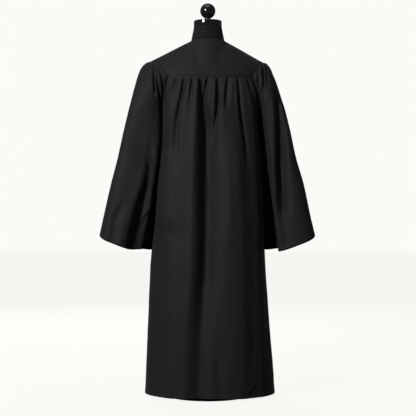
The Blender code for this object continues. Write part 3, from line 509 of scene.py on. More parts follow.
frontSleeveFolds = (
    (1, 1.205, 0.182, 0.0065, 0.006),
    (1, 1.12, 0.176, 0.009, 0.013),
    (1, 1.02, 0.185, 0.011, 0.015),
    (1, 0.88, 0.2, 0.014, 0.0),
    (2, 1.205, 0.201, 0.0065, 0.007),
    (2, 1.13, 0.202, 0.008, 0.009),
    (2, 1.07, 0.205, 0.009, 0.0),
    (3, 0.9, 0.235, 0.014, 0.0),
    (3, 0.78, 0.245, 0.018, 0.012),
    (3, 0.54, 0.265, 0.022, 0.014),
    (4, 0.8, 0.3, 0.016, 0.0),
    (4, 0.56, 0.335, 0.02, 0.009),
)
frontSleeveCreases = (
    (0.225, 0.83, 0.26, 0.79, 0.006, 0.0025),
    (0.22, 0.72, 0.27, 0.67, 0.006, 0.0025),
    (0.31, 0.68, 0.27, 0.62, 0.007, 0.0025),
)

body = columnsOf(bodyColumns, bodyRows)
sleeveShape = columnsOf(sleeveColumns, sleeveRows)


def bodyWall(facing, across, height):
    # facing 1 is the back and -1 the front; across goes from the right edge (-1) to the left (1)
    across = np.asarray(across, float)
    height = np.asarray(height, float)
    name = "back" if facing > 0 else "front"
    depth = valueAt(body, name, height)
    edge = valueAt(body, name + "Edge", height)
    power = valueAt(body, "power", height)
    left = valueAt(body, "left", height)
    right = valueAt(body, "right", height)
    if facing > 0:
        # the back's left side turns sharply into the shade of the sleeve
        beside = smoothStep(0.0, 0.4, across)
        beside = beside * smoothStep(0.58, 0.66, height) * smoothStep(1.10, 1.02, height)
        power = power + gown["leftCorner"] * beside
    turn = np.arccos((edge / depth) ** (power / 2))
    reach = np.where(across >= 0, left, right) / np.sin(turn) ** (2 / power)
    angle = across * turn
    x = reach * np.sign(angle) * np.abs(np.sin(angle)) ** (2 / power)
    y = facing * depth * np.cos(angle) ** (2 / power)
    outX = np.sign(x) * np.abs(x / reach) ** (power - 1) / reach
    outY = facing * np.abs(y / depth) ** (power - 1) / depth
    size = np.hypot(outX, outY)
    point = np.stack([x, y, np.broadcast_to(height, x.shape)], -1)
    out = np.stack([outX / size, outY / size, np.zeros_like(x)], -1)
    return point, out


relief = {"pucker": 0.0011, "puckerFade": 0.070, "drape": 0.0013, "crumple": 0.0004, "dent": 0.0007}


def hemStep(distance):
    # the turned-up hem is a little thicker than the cloth above it
    band = gown["hemBand"]
    return gown["hemRise"] * smoothStep(band + 0.0015, band - 0.0010, distance)


def seenHeight(point):
    # the height at which the camera sees a point against the gown's middle
    nearer = camera["distance"] / (camera["distance"] - point[..., 1])
    return camera["height"] + (point[..., 2] - camera["height"]) * nearer


def broadRise(x, height):
    # the back's right half is a flat plane up to a soft edge, from which it turns away
    shape = columnsOf(broadColumns, broadRows)
    left = valueAt(shape, "leftWidth", height)
    right = valueAt(shape, "rightWidth", height)
    high = valueAt(shape, "rise", height)
    off = x - valueAt(shape, "x", height)
    soft = gown["broadEdge"]
    past = np.sqrt(off**2 + soft**2) - soft
    rise = high * np.exp(-past / np.where(off > 0, left, right))
    blade = bell(x - valueAt(shape, "blade", height), gown["bladeWidth"])
    return rise + valueAt(shape, "bladeRise", height) * blade


def backPanelPlace(across, height):
    point, out = bodyWall(1, across, height)
    x = point[..., 0]
    drop = gown["backSeam"] - height
    started = smoothStep(gown["pressed"], gown["foldStart"], drop)
    held = started * smoothStep(1.0, gown["plainSide"][0], np.abs(across))
    puff = gown["backPuff"] * started * smoothStep(gown["puffFade"][1], gown["puffFade"][0], drop)
    seen = seenHeight(point)
    depth = foldDepth(backFolds, x, seen) + creaseDepth(backCreases, x, height) - puff
    depth = depth - broadRise(x, height)
    puckers = relief["pucker"] * softHills(x / 0.0085, height / 0.060, 3)
    depth = depth + puckers * np.exp(-drop / relief["puckerFade"])
    depth = depth + relief["drape"] * softHills(x / 0.034, height / 0.210, 5)
    depth = depth + relief["crumple"] * softHills(x / 0.010, height / 0.060, 6)
    depth = depth + relief["crumple"] * softHills(x / 0.022, height / 0.026, 7)
    depth = depth * held - hemStep(height - gown["hem"])
    return point - out * depth[..., None]


def frontEdgeX(height):
    closed = gown["seamGap"] / 2
    return closed + (zipper["opening"] - closed) * smoothStep(
        zipper["bottom"] - 0.009, zipper["bottom"] - 0.002, height
    )


def frontPanelPlace(side):
    def place(across, height):
        point, out = bodyWall(-1, side * across, height)
        x = np.abs(point[..., 0])
        point[..., 0] = side * np.maximum(x, frontEdgeX(height))
        drop = gown["frontSeam"] - height
        held = smoothStep(gown["pressed"], gown["foldStart"], drop)
        held = held * smoothStep(1.0, gown["plainSide"][1], across)
        held = held * smoothStep(*gown["zipPlacket"], x)
        shifted = x * (1 + 0.04 * side)
        depth = foldDepth(frontFolds, shifted, height, side)
        depth = depth + creaseDepth(frontCreases, shifted, height)
        puckers = relief["pucker"] * softHills(x / 0.0085, height / 0.060, 9 + side)
        depth = depth + puckers * np.exp(-drop / relief["puckerFade"])
        depth = depth + relief["drape"] * softHills(x / 0.034, height / 0.210, 13 + side)
        depth = depth * held - hemStep(height - gown["hem"])
        return point - out * depth[..., None]

    return place


def shoulderSeam(side, share, facing):
    reach, height = shoulderEnds[side]
    x = side * (gown["neckSide"] + (reach - gown["neckSide"]) * share)
    y = gown["shoulderLine"] + facing * gown["shoulderSeamGap"] / 2 + 0 * share
    z = gown["neckHeight"] + (height - gown["neckHeight"]) * share
    return np.stack([x, y, z], -1)


def yokeBetween(top, bottom, down):
    # steep below the neck and rounded over the shoulder
    over = smoothStep(0.02, 0.11, np.abs(top[..., 0]))
    share = 1 - (1 - down) ** (1.35 + 0.45 * over)
    point = np.empty_like(top)
    point[..., 0] = top[..., 0] + (bottom[..., 0] - top[..., 0]) * down
    point[..., 1] = top[..., 1] + (bottom[..., 1] - top[..., 1]) * share
    point[..., 2] = top[..., 2] + (bottom[..., 2] - top[..., 2]) * down ** (1.05 + 0.65 * over)
    return point


def yokeRelief(point, down, across, facing):
    # faint dents, and the seam edge rolled a little outwards
    dents = relief["dent"] * softHills(point[..., 0] / 0.030, point[..., 2] / 0.045, 21)
    inside = np.sin(np.pi * np.clip(down, 0, 1)) * smoothStep(1.0, 0.9, np.abs(across))
    roll = 0.0005 * smoothStep(0.975, 0.995, down)
    point[..., 1] += facing * (dents * inside + roll)
    return point


def backYokePlain(across, down):
    side = np.where(across >= 0, 1, -1)
    part = np.abs(across)
    share = gown["backNeckShare"]
    turn = np.clip(part / share, 0, 1) * math.pi / 2
    neckY = gown["shoulderLine"] + gown["shoulderSeamGap"] / 2
    neckX = side * gown["neckSide"] * np.sin(turn)
    neckDepth = neckY + (gown["neckBack"] - neckY) * np.cos(turn)
    neck = np.stack([neckX, neckDepth, gown["neckHeight"] + 0 * turn], -1)
    along = np.clip((part - share) / (1 - share), 0, 1)
    seam = np.where((side > 0)[..., None], shoulderSeam(1, along, 1), shoulderSeam(-1, along, 1))
    top = np.where((part < share)[..., None], neck, seam)
    bottom, _ = bodyWall(1, across, gown["backSeam"] + 0 * across)
    bottom[..., 2] += gown["yokeSeamGap"]
    return yokeBetween(top, bottom, down)


def smoothedYoke(plain, across, down, low, high, reach):
    # an even surface between the edges of the yoke
    inside = smoothStep(0.08, 0.60, down) * smoothStep(1, 0.80, down)
    room = np.minimum(np.abs(across - low), np.abs(high - across))
    step = np.minimum(reach, room) * inside / 3
    start = plain(across, down)
    total = start.copy()
    for shift in (-3, -2, -1, 1, 2, 3):
        total = total + plain(across + shift * step, down)
    even = total / 7
    # it never sinks towards the form
    outwards = np.sign(start[..., 1])
    risen = (even[..., 1] - start[..., 1]) * outwards
    even[..., 1] = start[..., 1] + outwards * np.maximum(risen, -0.002)
    return even


def backYokePlace(across, down):
    point = smoothedYoke(backYokePlain, across, down, -1, 1, 0.40)
    return yokeRelief(point, down, across, 1)


def frontYokePlain(side):
    def place(across, down):
        part = gown["frontNeckShare"]
        share = np.clip(across / part, 0, 1)[..., None]
        low = np.array([side * zipper["opening"], *gown["vPoint"]])
        pull = np.array([side * gown["vPull"][0], *gown["vPull"][1:]])
        high = shoulderSeam(side, np.zeros(1), -1)[0]
        neck = low * (1 - share) ** 2 + 2 * pull * share * (1 - share) + high * share**2
        along = np.clip((across - part) / (1 - part), 0, 1)
        top = np.where((across < part)[..., None], neck, shoulderSeam(side, along, -1))
        bottom, _ = bodyWall(-1, side * across, gown["frontSeam"] + 0 * across)
        bottom[..., 0] = side * np.maximum(np.abs(bottom[..., 0]), zipper["opening"])
        bottom[..., 2] += gown["yokeSeamGap"]
        return yokeBetween(top, bottom, down)

    return place


def frontYokePlace(side):
    plain = frontYokePlain(side)

    def place(across, down):
        point = smoothedYoke(plain, across, down, 0, 1, 0.30)
        return yokeRelief(point, down, 2 * across - 1, -1)

    return place


def armhole(side, facing):
    steps = np.linspace(0, 1, 30)
    ends = np.ones_like(steps)
    upper = backYokePlain(side * ends, steps) if facing > 0 else frontYokePlain(side)(ends, steps)
    top = gown["backSeam"] if facing > 0 else gown["frontSeam"]
    heights = top + (gown["underarm"] - top) * np.sin(steps * math.pi / 2)
    lower, _ = bodyWall(facing, side * ends, heights)
    return np.concatenate([upper, lower[1:]])


def alongLine(line, share):
    length = np.concatenate([[0], np.cumsum(np.linalg.norm(np.diff(line, axis=0), axis=1))])
    return np.stack([np.interp(share * length[-1], length, line[:, i]) for i in range(3)], -1)


sleeveFit = {
    "underGap": 0.0025,
    "frontTuck": 0.004,
    "backGap": 0.003,
    "flatBack": 0.014,
    "shadedBack": 0.034,
    "turn": 0.42,
    "crinkle": 0.0012,
    "wave": 0.0014,
    "fineWave": 0.0004,
}


def sleevePlace(side):
    # around goes from the shoulder (0) by the back and the underarm (0.5)
    # and along ends at the cuff (1)
    backLine = armhole(side, 1)
    frontLine = armhole(side, -1)
    backRows = leftSleeveFolds if side > 0 else rightSleeveFolds
    creaseRows = leftSleeveCreases if side > 0 else rightSleeveCreases
    hand = "Left" if side > 0 else "Right"

    def column(name, along):
        return valueAt(sleeveShape, name, along, "along")

    def lineAt(along):
        overX = column("over" + hand, along)
        overZ = column("overHeight", along)
        overZ = overZ + (shoulderEnds[side][1] - sleeveShape["overHeight"][0]) * (1 - along)
        underX = column("under" + hand, along)
        underZ = column("underHeight", along)
        middle = np.stack([(overX + underX) / 2, (overZ + underZ) / 2], -1)
        half = np.stack([(overX - underX) / 2, (overZ - underZ) / 2], -1)
        return middle, half

    def place(around, along):
        around = np.asarray(around, float)
        along = np.asarray(along, float)
        onBack = around <= 0.5
        back = alongLine(backLine, np.clip(around * 2, 0, 1))
        front = alongLine(frontLine, np.clip(2 - around * 2, 0, 1))
        start = np.where(onBack[..., None], back, front)
        start[..., 0] = side * start[..., 0] + gown["armholeGap"]

        middle, half = lineAt(0 * along)
        size = (half**2).sum(-1)
        offset = np.stack([start[..., 0], start[..., 2]], -1) - middle
        up = (offset * half).sum(-1) / size
        bow = (offset[..., 0] * half[..., 1] - offset[..., 1] * half[..., 0]) / np.sqrt(size)

        angle = around * 2 * math.pi
        corner = np.where(np.cos(angle) > 0, gown["outerSquare"], gown["innerSquare"])
        square = 2 / (2 + (corner - 2) * smoothStep(0, gown["sleeveHead"], along))
        sine = signedPower(np.sin(angle), square)
        cosine = signedPower(np.cos(angle), square)
        blend = smoothStep(0.0, gown["sleeveHead"], along)
        halfDepth = column("halfDepth", along)
        up = up + (cosine - up) * blend
        bow = bow * (1 - blend)
        y = start[..., 1] * (1 - blend) + blend * (column("middle", along) + halfDepth * sine)
        middle, half = lineAt(along)
        length = np.linalg.norm(half, axis=-1)
        away = np.stack([half[..., 1], -half[..., 0]], -1) / length[..., None]
        sag = column("sag", along) * sine**2
        ring = middle + half * up[..., None] + away * (bow + sag)[..., None]
        x = ring[..., 0]
        z = ring[..., 1]
        # the inner front of the sleeve lies past the body's edge, so no light shows between
        edge = valueAt(body, hand.lower(), z)
        under = bell(angle - math.pi, 0.55) * smoothStep(0.0, 0.03, along)
        x = x - np.clip(x - edge - sleeveFit["underGap"], 0, None) * under
        nearFront = bell(angle - 3.90, sleeveFit["turn"]) * smoothStep(0.0, 0.06, along)
        x = x - np.clip(x - edge + sleeveFit["frontTuck"], 0, None) * nearFront
        if side > 0:
            # the back of the left sleeve stays flat up to the body
            high = smoothStep(0.03, 0.12, along) * smoothStep(0.95, 0.30, along)
            y = y + sleeveFit["flatBack"] * bell(angle - 2.38, sleeveFit["turn"]) * high
            nearBack = 0.9 * bell(angle - 2.55, sleeveFit["turn"]) * smoothStep(0.03, 0.12, along)
            x = x - np.clip(x - edge - sleeveFit["backGap"], 0, None) * nearBack
        else:
            # the back of the right sleeve falls away in the body's shade
            falls = bell(angle - 2.90, 0.36) * smoothStep(0.02, 0.25, along)
            y = y - sleeveFit["shadedBack"] * falls
        droop = bell(x - 0.245, 0.085) * smoothStep(0.75, 1, along)
        z = z - gown["cuffDroop"] * droop

        gathered = smoothStep(0.0, gown["capGather"], along)
        puff = gown["capPuff"] * gathered * np.clip(cosine + 0.4, 0, 1)
        puff = puff * smoothStep(gown["sleeveHead"], gown["capGather"] * 2, along)
        onBackShare = np.where(sine > 0, smoothStep(0.05, 0.45, sine), 0)
        onFrontShare = np.where(sine < 0, smoothStep(0.05, 0.45, -sine), 0)
        onBackDepth = foldDepth(backRows, x, z, side, 0.95) + creaseDepth(creaseRows, x, z)
        onFrontDepth = foldDepth(frontSleeveFolds, x, z, side)
        onFrontDepth = onFrontDepth + creaseDepth(frontSleeveCreases, x, z)
        depth = onBackDepth * onBackShare
        depth = depth + onFrontDepth * onFrontShare
        crinkle = sleeveFit["crinkle"] * softHills(angle / 0.12, along / 0.12, 31 + side)
        crinkle = crinkle * smoothStep(0.3, 0.02, along)
        fromJoin = smoothStep(0.0, 0.03, np.minimum(around, 1 - around))
        calm = smoothStep(-0.95, -0.6, cosine) * fromJoin
        waves = sleeveFit["wave"] * softHills(angle / 0.45, along / 0.30, 37 + side)
        waves = waves + sleeveFit["fineWave"] * softHills(angle / 0.16, along / 0.05, 41 + side)
        depth = (depth + (crinkle + waves) * calm) * gathered - puff
        depth = depth - hemStep((1 - along) * gown["cuffLength"])
        outFlat = half * (cosine / length)[..., None]
        x = x - outFlat[..., 0] * depth
        y = y - sine * depth
        z = z - outFlat[..., 1] * depth
        return np.stack([side * x, y, z], -1)

    return place


zipper = {
    "opening": 0.0030,
    "bottom": 0.330,
    "coilHalf": 0.0022,
    "pitch": 0.00135,
    "wire": 0.00042,
    "slider": 1.192,
}


def frontMiddle(height):
    # the zip's line on the cloth's outer face as depth and height, and the way out of the cloth
    down = np.linspace(0, 1, 60)
    yoke = frontYokePlain(1)(np.zeros_like(down), down)
    heights = np.linspace(gown["frontSeam"], gown["hem"], 200)
    panel, _ = bodyWall(-1, np.zeros_like(heights), heights)
    line = np.concatenate([yoke[:-1], panel])[:, 1:]
    way = np.gradient(line, axis=0)
    way = way / np.linalg.norm(way, axis=1)[:, None]
    order = np.argsort(line[:, 1])
    z = line[order, 1]
    y = np.interp(height, z, line[order, 0])
    alongY = np.interp(height, z, way[order, 0])
    alongZ = np.interp(height, z, way[order, 1])
    out = np.stack([alongZ, -alongY], -1)
    out = out / np.linalg.norm(out, axis=-1)[..., None]
    return np.stack([y, height + 0 * y], -1), out


# Materials


def startMaterial(name, colour, roughness, metallic=0.0):
    made = bpy.data.materials.new(name)
    made.use_nodes = True
    shader = made.node_tree.nodes["Principled BSDF"]
    shader.inputs["Base Color"].default_value = (*colour, 1)
    shader.inputs["Roughness"].default_value = roughness
    shader.inputs["Metallic"].default_value = metallic
    return made, made.node_tree, shader


def addNode(tree, kind, settings=(), **sockets):
    node = tree.nodes.new("ShaderNode" + kind)
    for name, value in dict(settings).items():
        setattr(node, name, value)
    for name, value in sockets.items():
        socket = node.inputs[name.replace("_", " ")]
        if isinstance(value, bpy.types.NodeSocket):
            tree.links.new(value, socket)
        else:
            socket.default_value = value
    return node


def mathNode(tree, operation, first, second=None):
    node = tree.nodes.new("ShaderNodeMath")
    node.operation = operation
    for socket, value in zip(node.inputs, (first, second)):
        if value is None:
            continue
        if isinstance(value, bpy.types.NodeSocket):
            tree.links.new(value, socket)
        else:
            socket.default_value = value
    return node.outputs[0]


def mapTo(tree, value, low, high):
    return addNode(tree, "MapRange", Value=value, To_Min=low, To_Max=high).outputs["Result"]


def shadeOf(tree, factor, dark, light):
    ramp = addNode(tree, "ValToRGB", Fac=factor)
    ramp.color_ramp.elements[0].color = (*dark, 1)
    ramp.color_ramp.elements[1].color = (*light, 1)
    return ramp.outputs["Color"]


def colourBetween(tree, shader, factor, dark, light):
    tree.links.new(shadeOf(tree, factor, dark, light), shader.inputs["Base Color"])


def roughnessBetween(tree, shader, factor, low, high):
    tree.links.new(mapTo(tree, factor, low, high), shader.inputs["Roughness"])


def noiseAt(tree, scale, detail):
    place = addNode(tree, "TexCoord").outputs["Object"]
    return addNode(tree, "TexNoise", Vector=place, Scale=scale, Detail=detail).outputs["Fac"]


def bumpInto(tree, shader, height, distance, strength):
    bump = addNode(tree, "Bump", Height=height, Distance=distance, Strength=strength)
    tree.links.new(bump.outputs["Normal"], shader.inputs["Normal"])


polyester = {
    "dark": (0.0105, 0.0105, 0.0112),
    "light": (0.0150, 0.0150, 0.0158),
    "threadPitch": 0.00042,
    "roughness": (0.62, 0.76),
    "sheen": 0.06,
}


def polyesterMaterial():
    made, tree, shader = startMaterial("Black polyester cloth", polyester["light"], 0.7)
    shader.inputs["Specular IOR Level"].default_value = 0.2
    shader.inputs["Sheen Weight"].default_value = polyester["sheen"]
    shader.inputs["Sheen Roughness"].default_value = 0.5
    shader.inputs["Sheen Tint"].default_value = (0.75, 0.77, 0.82, 1)
    metres = addNode(tree, "UVMap", {"uv_map": "clothMetres"}).outputs["UV"]
    split = addNode(tree, "SeparateXYZ", Vector=metres)
    turns = 2 * math.pi / (2 * polyester["threadPitch"])
    warp = mathNode(tree, "SINE", mathNode(tree, "MULTIPLY", split.outputs["X"], turns))
    weft = mathNode(tree, "SINE", mathNode(tree, "MULTIPLY", split.outputs["Y"], turns))
    weave = mathNode(tree, "MULTIPLY", warp, weft)
    stretched = addNode(tree, "Mapping", Vector=metres, Scale=(900, 26, 1)).outputs["Vector"]
    slubs = addNode(tree, "TexNoise", Vector=stretched, Scale=1.0, Detail=2.0).outputs["Fac"]
    clouds = noiseAt(tree, 9.0, 4.0)
    lint = noiseAt(tree, 420.0, 1.0)
    lint = addNode(tree, "MapRange", Value=lint, From_Min=0.70, From_Max=0.80).outputs["Result"]
    # painted light and shade: the cloth's colour is lighter where it stands out on a ridge and
    # darker in the troughs of the folds
    ridgeHeightForShade = addNode(tree, "Attribute", {"attribute_name": "ridge"}).outputs["Fac"]
    paintedRidgeShade = mathNode(tree, "MULTIPLY", ridgeHeightForShade, 0.3)
    mix = mathNode(tree, "ADD", mapTo(tree, clouds, 0.1, 0.6), paintedRidgeShade)
    mix = mathNode(tree, "ADD", mix, mapTo(tree, slubs, -0.08, 0.12))
    mix = mathNode(tree, "ADD", mix, mathNode(tree, "MULTIPLY", lint, 0.15))
    colourBetween(tree, shader, mix, polyester["dark"], polyester["light"])
    roughnessBetween(tree, shader, clouds, *polyester["roughness"])
    height = mathNode(tree, "ADD", weave, mathNode(tree, "MULTIPLY", slubs, 0.8))
    bumpInto(tree, shader, height, 0.00006, 0.5)
    return made


def threadMaterial():
    made, tree, shader = startMaterial("Black sewing thread", (0.014, 0.014, 0.015), 0.5)
    twist = noiseAt(tree, 2600.0, 1.0)
    colourBetween(tree, shader, twist, (0.010, 0.010, 0.011), (0.020, 0.020, 0.021))
    bumpInto(tree, shader, twist, 0.00005, 0.6)
    return made


def tapeMaterial():
    made, tree, shader = startMaterial("Black zip tape", (0.018, 0.018, 0.019), 0.7)
    place = addNode(tree, "TexCoord").outputs["Object"]
    ribs = addNode(
        tree, "TexWave", {"bands_direction": "Z", "wave_type": "BANDS"}, Vector=place, Scale=260.0
    ).outputs["Fac"]
    clouds = addNode(tree, "TexNoise", Vector=place, Scale=60.0).outputs["Fac"]
    colourBetween(tree, shader, clouds, (0.012, 0.012, 0.013), (0.022, 0.022, 0.023))
    bumpInto(tree, shader, ribs, 0.00012, 0.5)
    return made


def nylonMaterial():
    made, tree, shader = startMaterial("Black nylon coil", (0.009, 0.009, 0.010), 0.45)
    grain = noiseAt(tree, 900.0, 2.0)
    roughnessBetween(tree, shader, grain, 0.38, 0.55)
    bumpInto(tree, shader, grain, 0.00003, 0.4)
    return made


def enamelMaterial():
    made, tree, shader = startMaterial("Black enamelled metal", (0.012, 0.012, 0.013), 0.35, 0.2)
    patches = noiseAt(tree, 520.0, 3.0)
    colourBetween(tree, shader, patches, (0.010, 0.010, 0.011), (0.020, 0.020, 0.020))
    roughnessBetween(tree, shader, patches, 0.28, 0.46)
    bumpInto(tree, shader, patches, 0.00004, 0.3)
    return made


def jerseyMaterial():
    made, tree, shader = startMaterial("Black jersey cover", (0.008, 0.008, 0.009), 0.85)
    shader.inputs["Specular IOR Level"].default_value = 0.25
    shader.inputs["Sheen Weight"].default_value = 0.06
    shader.inputs["Sheen Roughness"].default_value = 0.4
    metres = addNode(tree, "UVMap", {"uv_map": "clothMetres"}).outputs["UV"]
    split = addNode(tree, "SeparateXYZ", Vector=metres)
    column = mathNode(tree, "MULTIPLY", split.outputs["X"], 2 * math.pi / 0.0009)
    wale = mathNode(tree, "SINE", column)
    lean = mathNode(tree, "MULTIPLY", mathNode(tree, "ABSOLUTE", wale), 1.2)
    course = mathNode(tree, "MULTIPLY", split.outputs["Y"], 2 * math.pi / 0.0008)
    loops = mathNode(tree, "SINE", mathNode(tree, "ADD", course, lean))
    clouds = noiseAt(tree, 14.0, 3.0)
    colourBetween(tree, shader, clouds, (0.0060, 0.0060, 0.0064), (0.0105, 0.0105, 0.0110))
    bumpInto(tree, shader, mathNode(tree, "ADD", loops, wale), 0.00008, 0.5)
    return made


def glossMaterial():
    made, tree, shader = startMaterial("Gloss black lacquer", (0.006, 0.006, 0.007), 0.1)
    shader.inputs["Coat Weight"].default_value = 0.6
    shader.inputs["Coat Roughness"].default_value = 0.04
    smears = noiseAt(tree, 38.0, 5.0)
    roughnessBetween(tree, shader, smears, 0.06, 0.20)
    ripple = noiseAt(tree, 160.0, 1.0)
    bumpInto(tree, shader, ripple, 0.00003, 0.25)
    return made


def paintMaterial():
    made, tree, shader = startMaterial("Black stand paint", (0.007, 0.007, 0.008), 0.6)
    shader.inputs["Specular IOR Level"].default_value = 0.25
    grain = noiseAt(tree, 700.0, 2.0)
    dust = noiseAt(tree, 18.0, 4.0)
    colourBetween(tree, shader, dust, (0.005, 0.005, 0.006), (0.010, 0.010, 0.010))
    roughnessBetween(tree, shader, dust, 0.50, 0.70)
    bumpInto(tree, shader, grain, 0.00006, 0.4)
    return made


clothBlack = polyesterMaterial()
threadBlack = threadMaterial()
tapeBlack = tapeMaterial()
nylonBlack = nylonMaterial()
enamelBlack = enamelMaterial()
jerseyBlack = jerseyMaterial()
glossBlack = glossMaterial()
paintBlack = paintMaterial()
print("materials made")


# Making pieces


def finishPiece(name, mesh, material, rides=gownBody):
    data = bpy.data.meshes.new(name)
    mesh.to_mesh(data)
    mesh.free()
    data.materials.append(material)
    data.shade_smooth()
    piece = bpy.data.objects.new(name, data)
    bpy.context.scene.collection.objects.link(piece)
    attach(piece, rides)
    return piece


def spread(values, at):
    # a list of places, with every number between two of them shared out evenly
    return np.interp(np.linspace(0, len(values) - 1, at), np.arange(len(values)), values)


def carriedGrid(columns, rows, place, facing, ridgeDepth=0.012):
    # a flat grid whose points are carried to the form that place gives; its UV map is in metres
    grid = bmesh.new()
    grid.loops.layers.uv.new("clothMetres")
    acrossSteps = len(columns) - 1
    downSteps = len(rows) - 1
    bmesh.ops.create_grid(grid, x_segments=acrossSteps, y_segments=downSteps, size=1, calc_uvs=True)
    data = bpy.data.meshes.new("carried")
    grid.to_mesh(data)
    flat = np.empty(len(data.vertices) * 3)
    data.vertices.foreach_get("co", flat)
    flat = flat.reshape(-1, 3)
    column = np.rint((flat[:, 0] + 1) / 2 * acrossSteps).astype(int)
    row = np.rint((flat[:, 1] + 1) / 2 * downSteps).astype(int)
    points = place(np.asarray(columns)[column], np.asarray(rows)[row])
    data.vertices.foreach_set("co", points.ravel())

    net = np.empty((downSteps + 1, acrossSteps + 1, 3))
    net[row, column] = points
    # metres along the cloth, as an average over its rows and its columns
    wide = np.linalg.norm(np.diff(net, axis=1), axis=2).mean(0)
    long = np.linalg.norm(np.diff(net, axis=0), axis=2).mean(1)
    metresAcross = np.concatenate([[0], np.cumsum(wide)])
    metresDown = np.concatenate([[0], np.cumsum(long)])
    layer = data.uv_layers["clothMetres"].data
    uv = np.empty(len(layer) * 2)
    layer.foreach_get("uv", uv)
    uv = uv.reshape(-1, 2)
    uv[:, 0] = np.interp(uv[:, 0] * acrossSteps, np.arange(acrossSteps + 1), metresAcross)
    uv[:, 1] = np.interp(uv[:, 1] * downSteps, np.arange(downSteps + 1), metresDown)
    layer.foreach_set("uv", uv.ravel())

    # how far each point stands out from the mean of its neighbours along the row
    blur = net.copy()
    reach = max(3, acrossSteps // 40)
    for shift in range(1, reach + 1):
        left = np.clip(np.arange(acrossSteps + 1) - shift, 0, acrossSteps)
        right = np.clip(np.arange(acrossSteps + 1) + shift, 0, acrossSteps)
        blur += net[:, left] + net[:, right]
    blur /= 2 * reach + 1
    away = np.stack([facing(*point) for point in net.reshape(-1, 3)]).reshape(net.shape)
    standing = ((net - blur) * away).sum(2) / ridgeDepth
    # the cloth's colour reads this to paint a highlight on ridges and shade in the troughs of folds
    ridge = data.attributes.new("ridge", "FLOAT", "POINT")
    ridge.data.foreach_set("value", np.clip(standing, -1, 1)[row, column].astype(np.float32))
    grid.free()

    made = bmesh.new()
    made.from_mesh(data)
    bpy.data.meshes.remove(data)
    bmesh.ops.remove_doubles(made, verts=made.verts, dist=0.00001)
    made.normal_update()
    total = 0
    for face in made.faces:
        total += face.calc_area() * face.normal.dot(Vector(facing(*face.calc_center_median())))
    if total < 0:
        bmesh.ops.reverse_faces(made, faces=made.faces)
    return made


def alwaysTo(*way):
    return lambda x, y, z: way


backwards = alwaysTo(0, 1, 0)
forwards = alwaysTo(0, -1, 0)
upAndBack = alwaysTo(0, 0.7, 0.7)
upAndFront = alwaysTo(0, -0.7, 0.7)


def awayFromArm(side):
    def facing(x, y, z):
        off = x - side * (0.185 + 0.115 * (1.2 - z) / 0.65)
        size = math.hypot(off, y) or 1
        return (off / size, y / size, 0)

    return facing


def makeCloth(name, columns, rows, place, facing, node):
    grid = carriedGrid(columns, rows, place, facing)
    piece = finishPiece(name, grid, clothBlack)
    wall = piece.modifiers.new("Cloth wall", "SOLIDIFY")
    wall.thickness = gown["wall"]
    wall.offset = -1
    wall.use_rim = True
    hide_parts(node)
    print(name, "made")
    return piece


backPanel = {
    "columns": 190,
    "rows": 200,
    "flat": (0.68, 1.16),  # hem width along the folds, length
    "area": 0.69,
    "heights": (
        1.154, 1.1525, 1.151, 1.147, 1.140, 1.128, 1.112, 1.090, 1.060, 1.020, 0.970, 0.910, 0.840,
        0.760, 0.670, 0.570, 0.460, 0.350, 0.240, 0.135, 0.060, 0.030, 0.023, 0.020, 0.011,
    ),
}

makeCloth(
    "backPanelCloth",
    np.linspace(-1, 1, backPanel["columns"] + 1),
    spread(backPanel["heights"], backPanel["rows"]),
    backPanelPlace,
    backwards,
    "back_panel",
)

frontPanel = {
    "columns": 95,
    "rows": 190,
    "flat": (0.36, 1.15),
    "area": 0.35,
    "heights": (
        1.150, 1.1485, 1.147, 1.143, 1.136, 1.122, 1.100, 1.075, 1.045, 1.005, 0.955, 0.895, 0.825,
        0.745, 0.655, 0.555, 0.450, 0.342, 0.331, 0.320, 0.300, 0.235, 0.135, 0.060, 0.030, 0.023,
        0.020, 0.011,
    ),
}

backYoke = {"columns": 120, "rows": 40, "flat": (0.45, 0.18), "area": 0.058}
frontYoke = {"columns": 64, "rows": 40, "flat": (0.22, 0.18), "area": 0.026}
sleeve = {"columns": 150, "rows": 160, "flat": (0.78, 0.70), "area": 0.385}

yokeRows = np.concatenate(
    [np.linspace(0, 0.94, backYoke["rows"]), [0.96, 0.975, 0.985, 0.993, 1.0]]
)
makeCloth(
    "backYokeCloth",
    np.linspace(-1, 1, backYoke["columns"] + 1),
    yokeRows,
    backYokePlace,
    upAndBack,
    "back_yoke",
)
for side, hand in ((1, "Left"), (-1, "Right")):
    node = hand.lower()
    makeCloth(
        f"front{hand}Cloth",
        np.concatenate([[0, 0.008, 0.02], np.linspace(0.035, 1, frontPanel["columns"] - 2)]),
        spread(frontPanel["heights"], frontPanel["rows"]),
        frontPanelPlace(side),
        forwards,
        f"front_panel_{node}",
    )
    makeCloth(
        f"frontYoke{hand}Cloth",
        np.linspace(0, 1, frontYoke["columns"] + 1),
        yokeRows,
        frontYokePlace(side),
        upAndFront,
        f"front_yoke_{node}",
    )
    alongRows = np.concatenate(
        [
            np.linspace(0, 0.06, 14)[:-1],
            np.linspace(0.06, 0.975, sleeve["rows"] - 18),
            [0.979, 0.982, 0.985, 1],
        ]
    )
    makeCloth(
        f"sleeve{hand}Cloth",
        np.linspace(0, 1, sleeve["columns"] + 1),
        alongRows,
        sleevePlace(side),
        awayFromArm(side),
        f"sleeve_{node}",
    )


# Sewing

sewing = {"pitch": 0.0032, "length": 0.0025, "thread": 0.00028, "fromEdge": 0.011}


def beadMesh(size):
    bead = bmesh.new()
    bmesh.ops.create_uvsphere(bead, u_segments=6, v_segments=4, radius=0.5)
    bmesh.ops.scale(bead, vec=size, verts=bead.verts)
    data = bpy.data.meshes.new("bead")
    bead.to_mesh(data)
    bead.free()
    return data


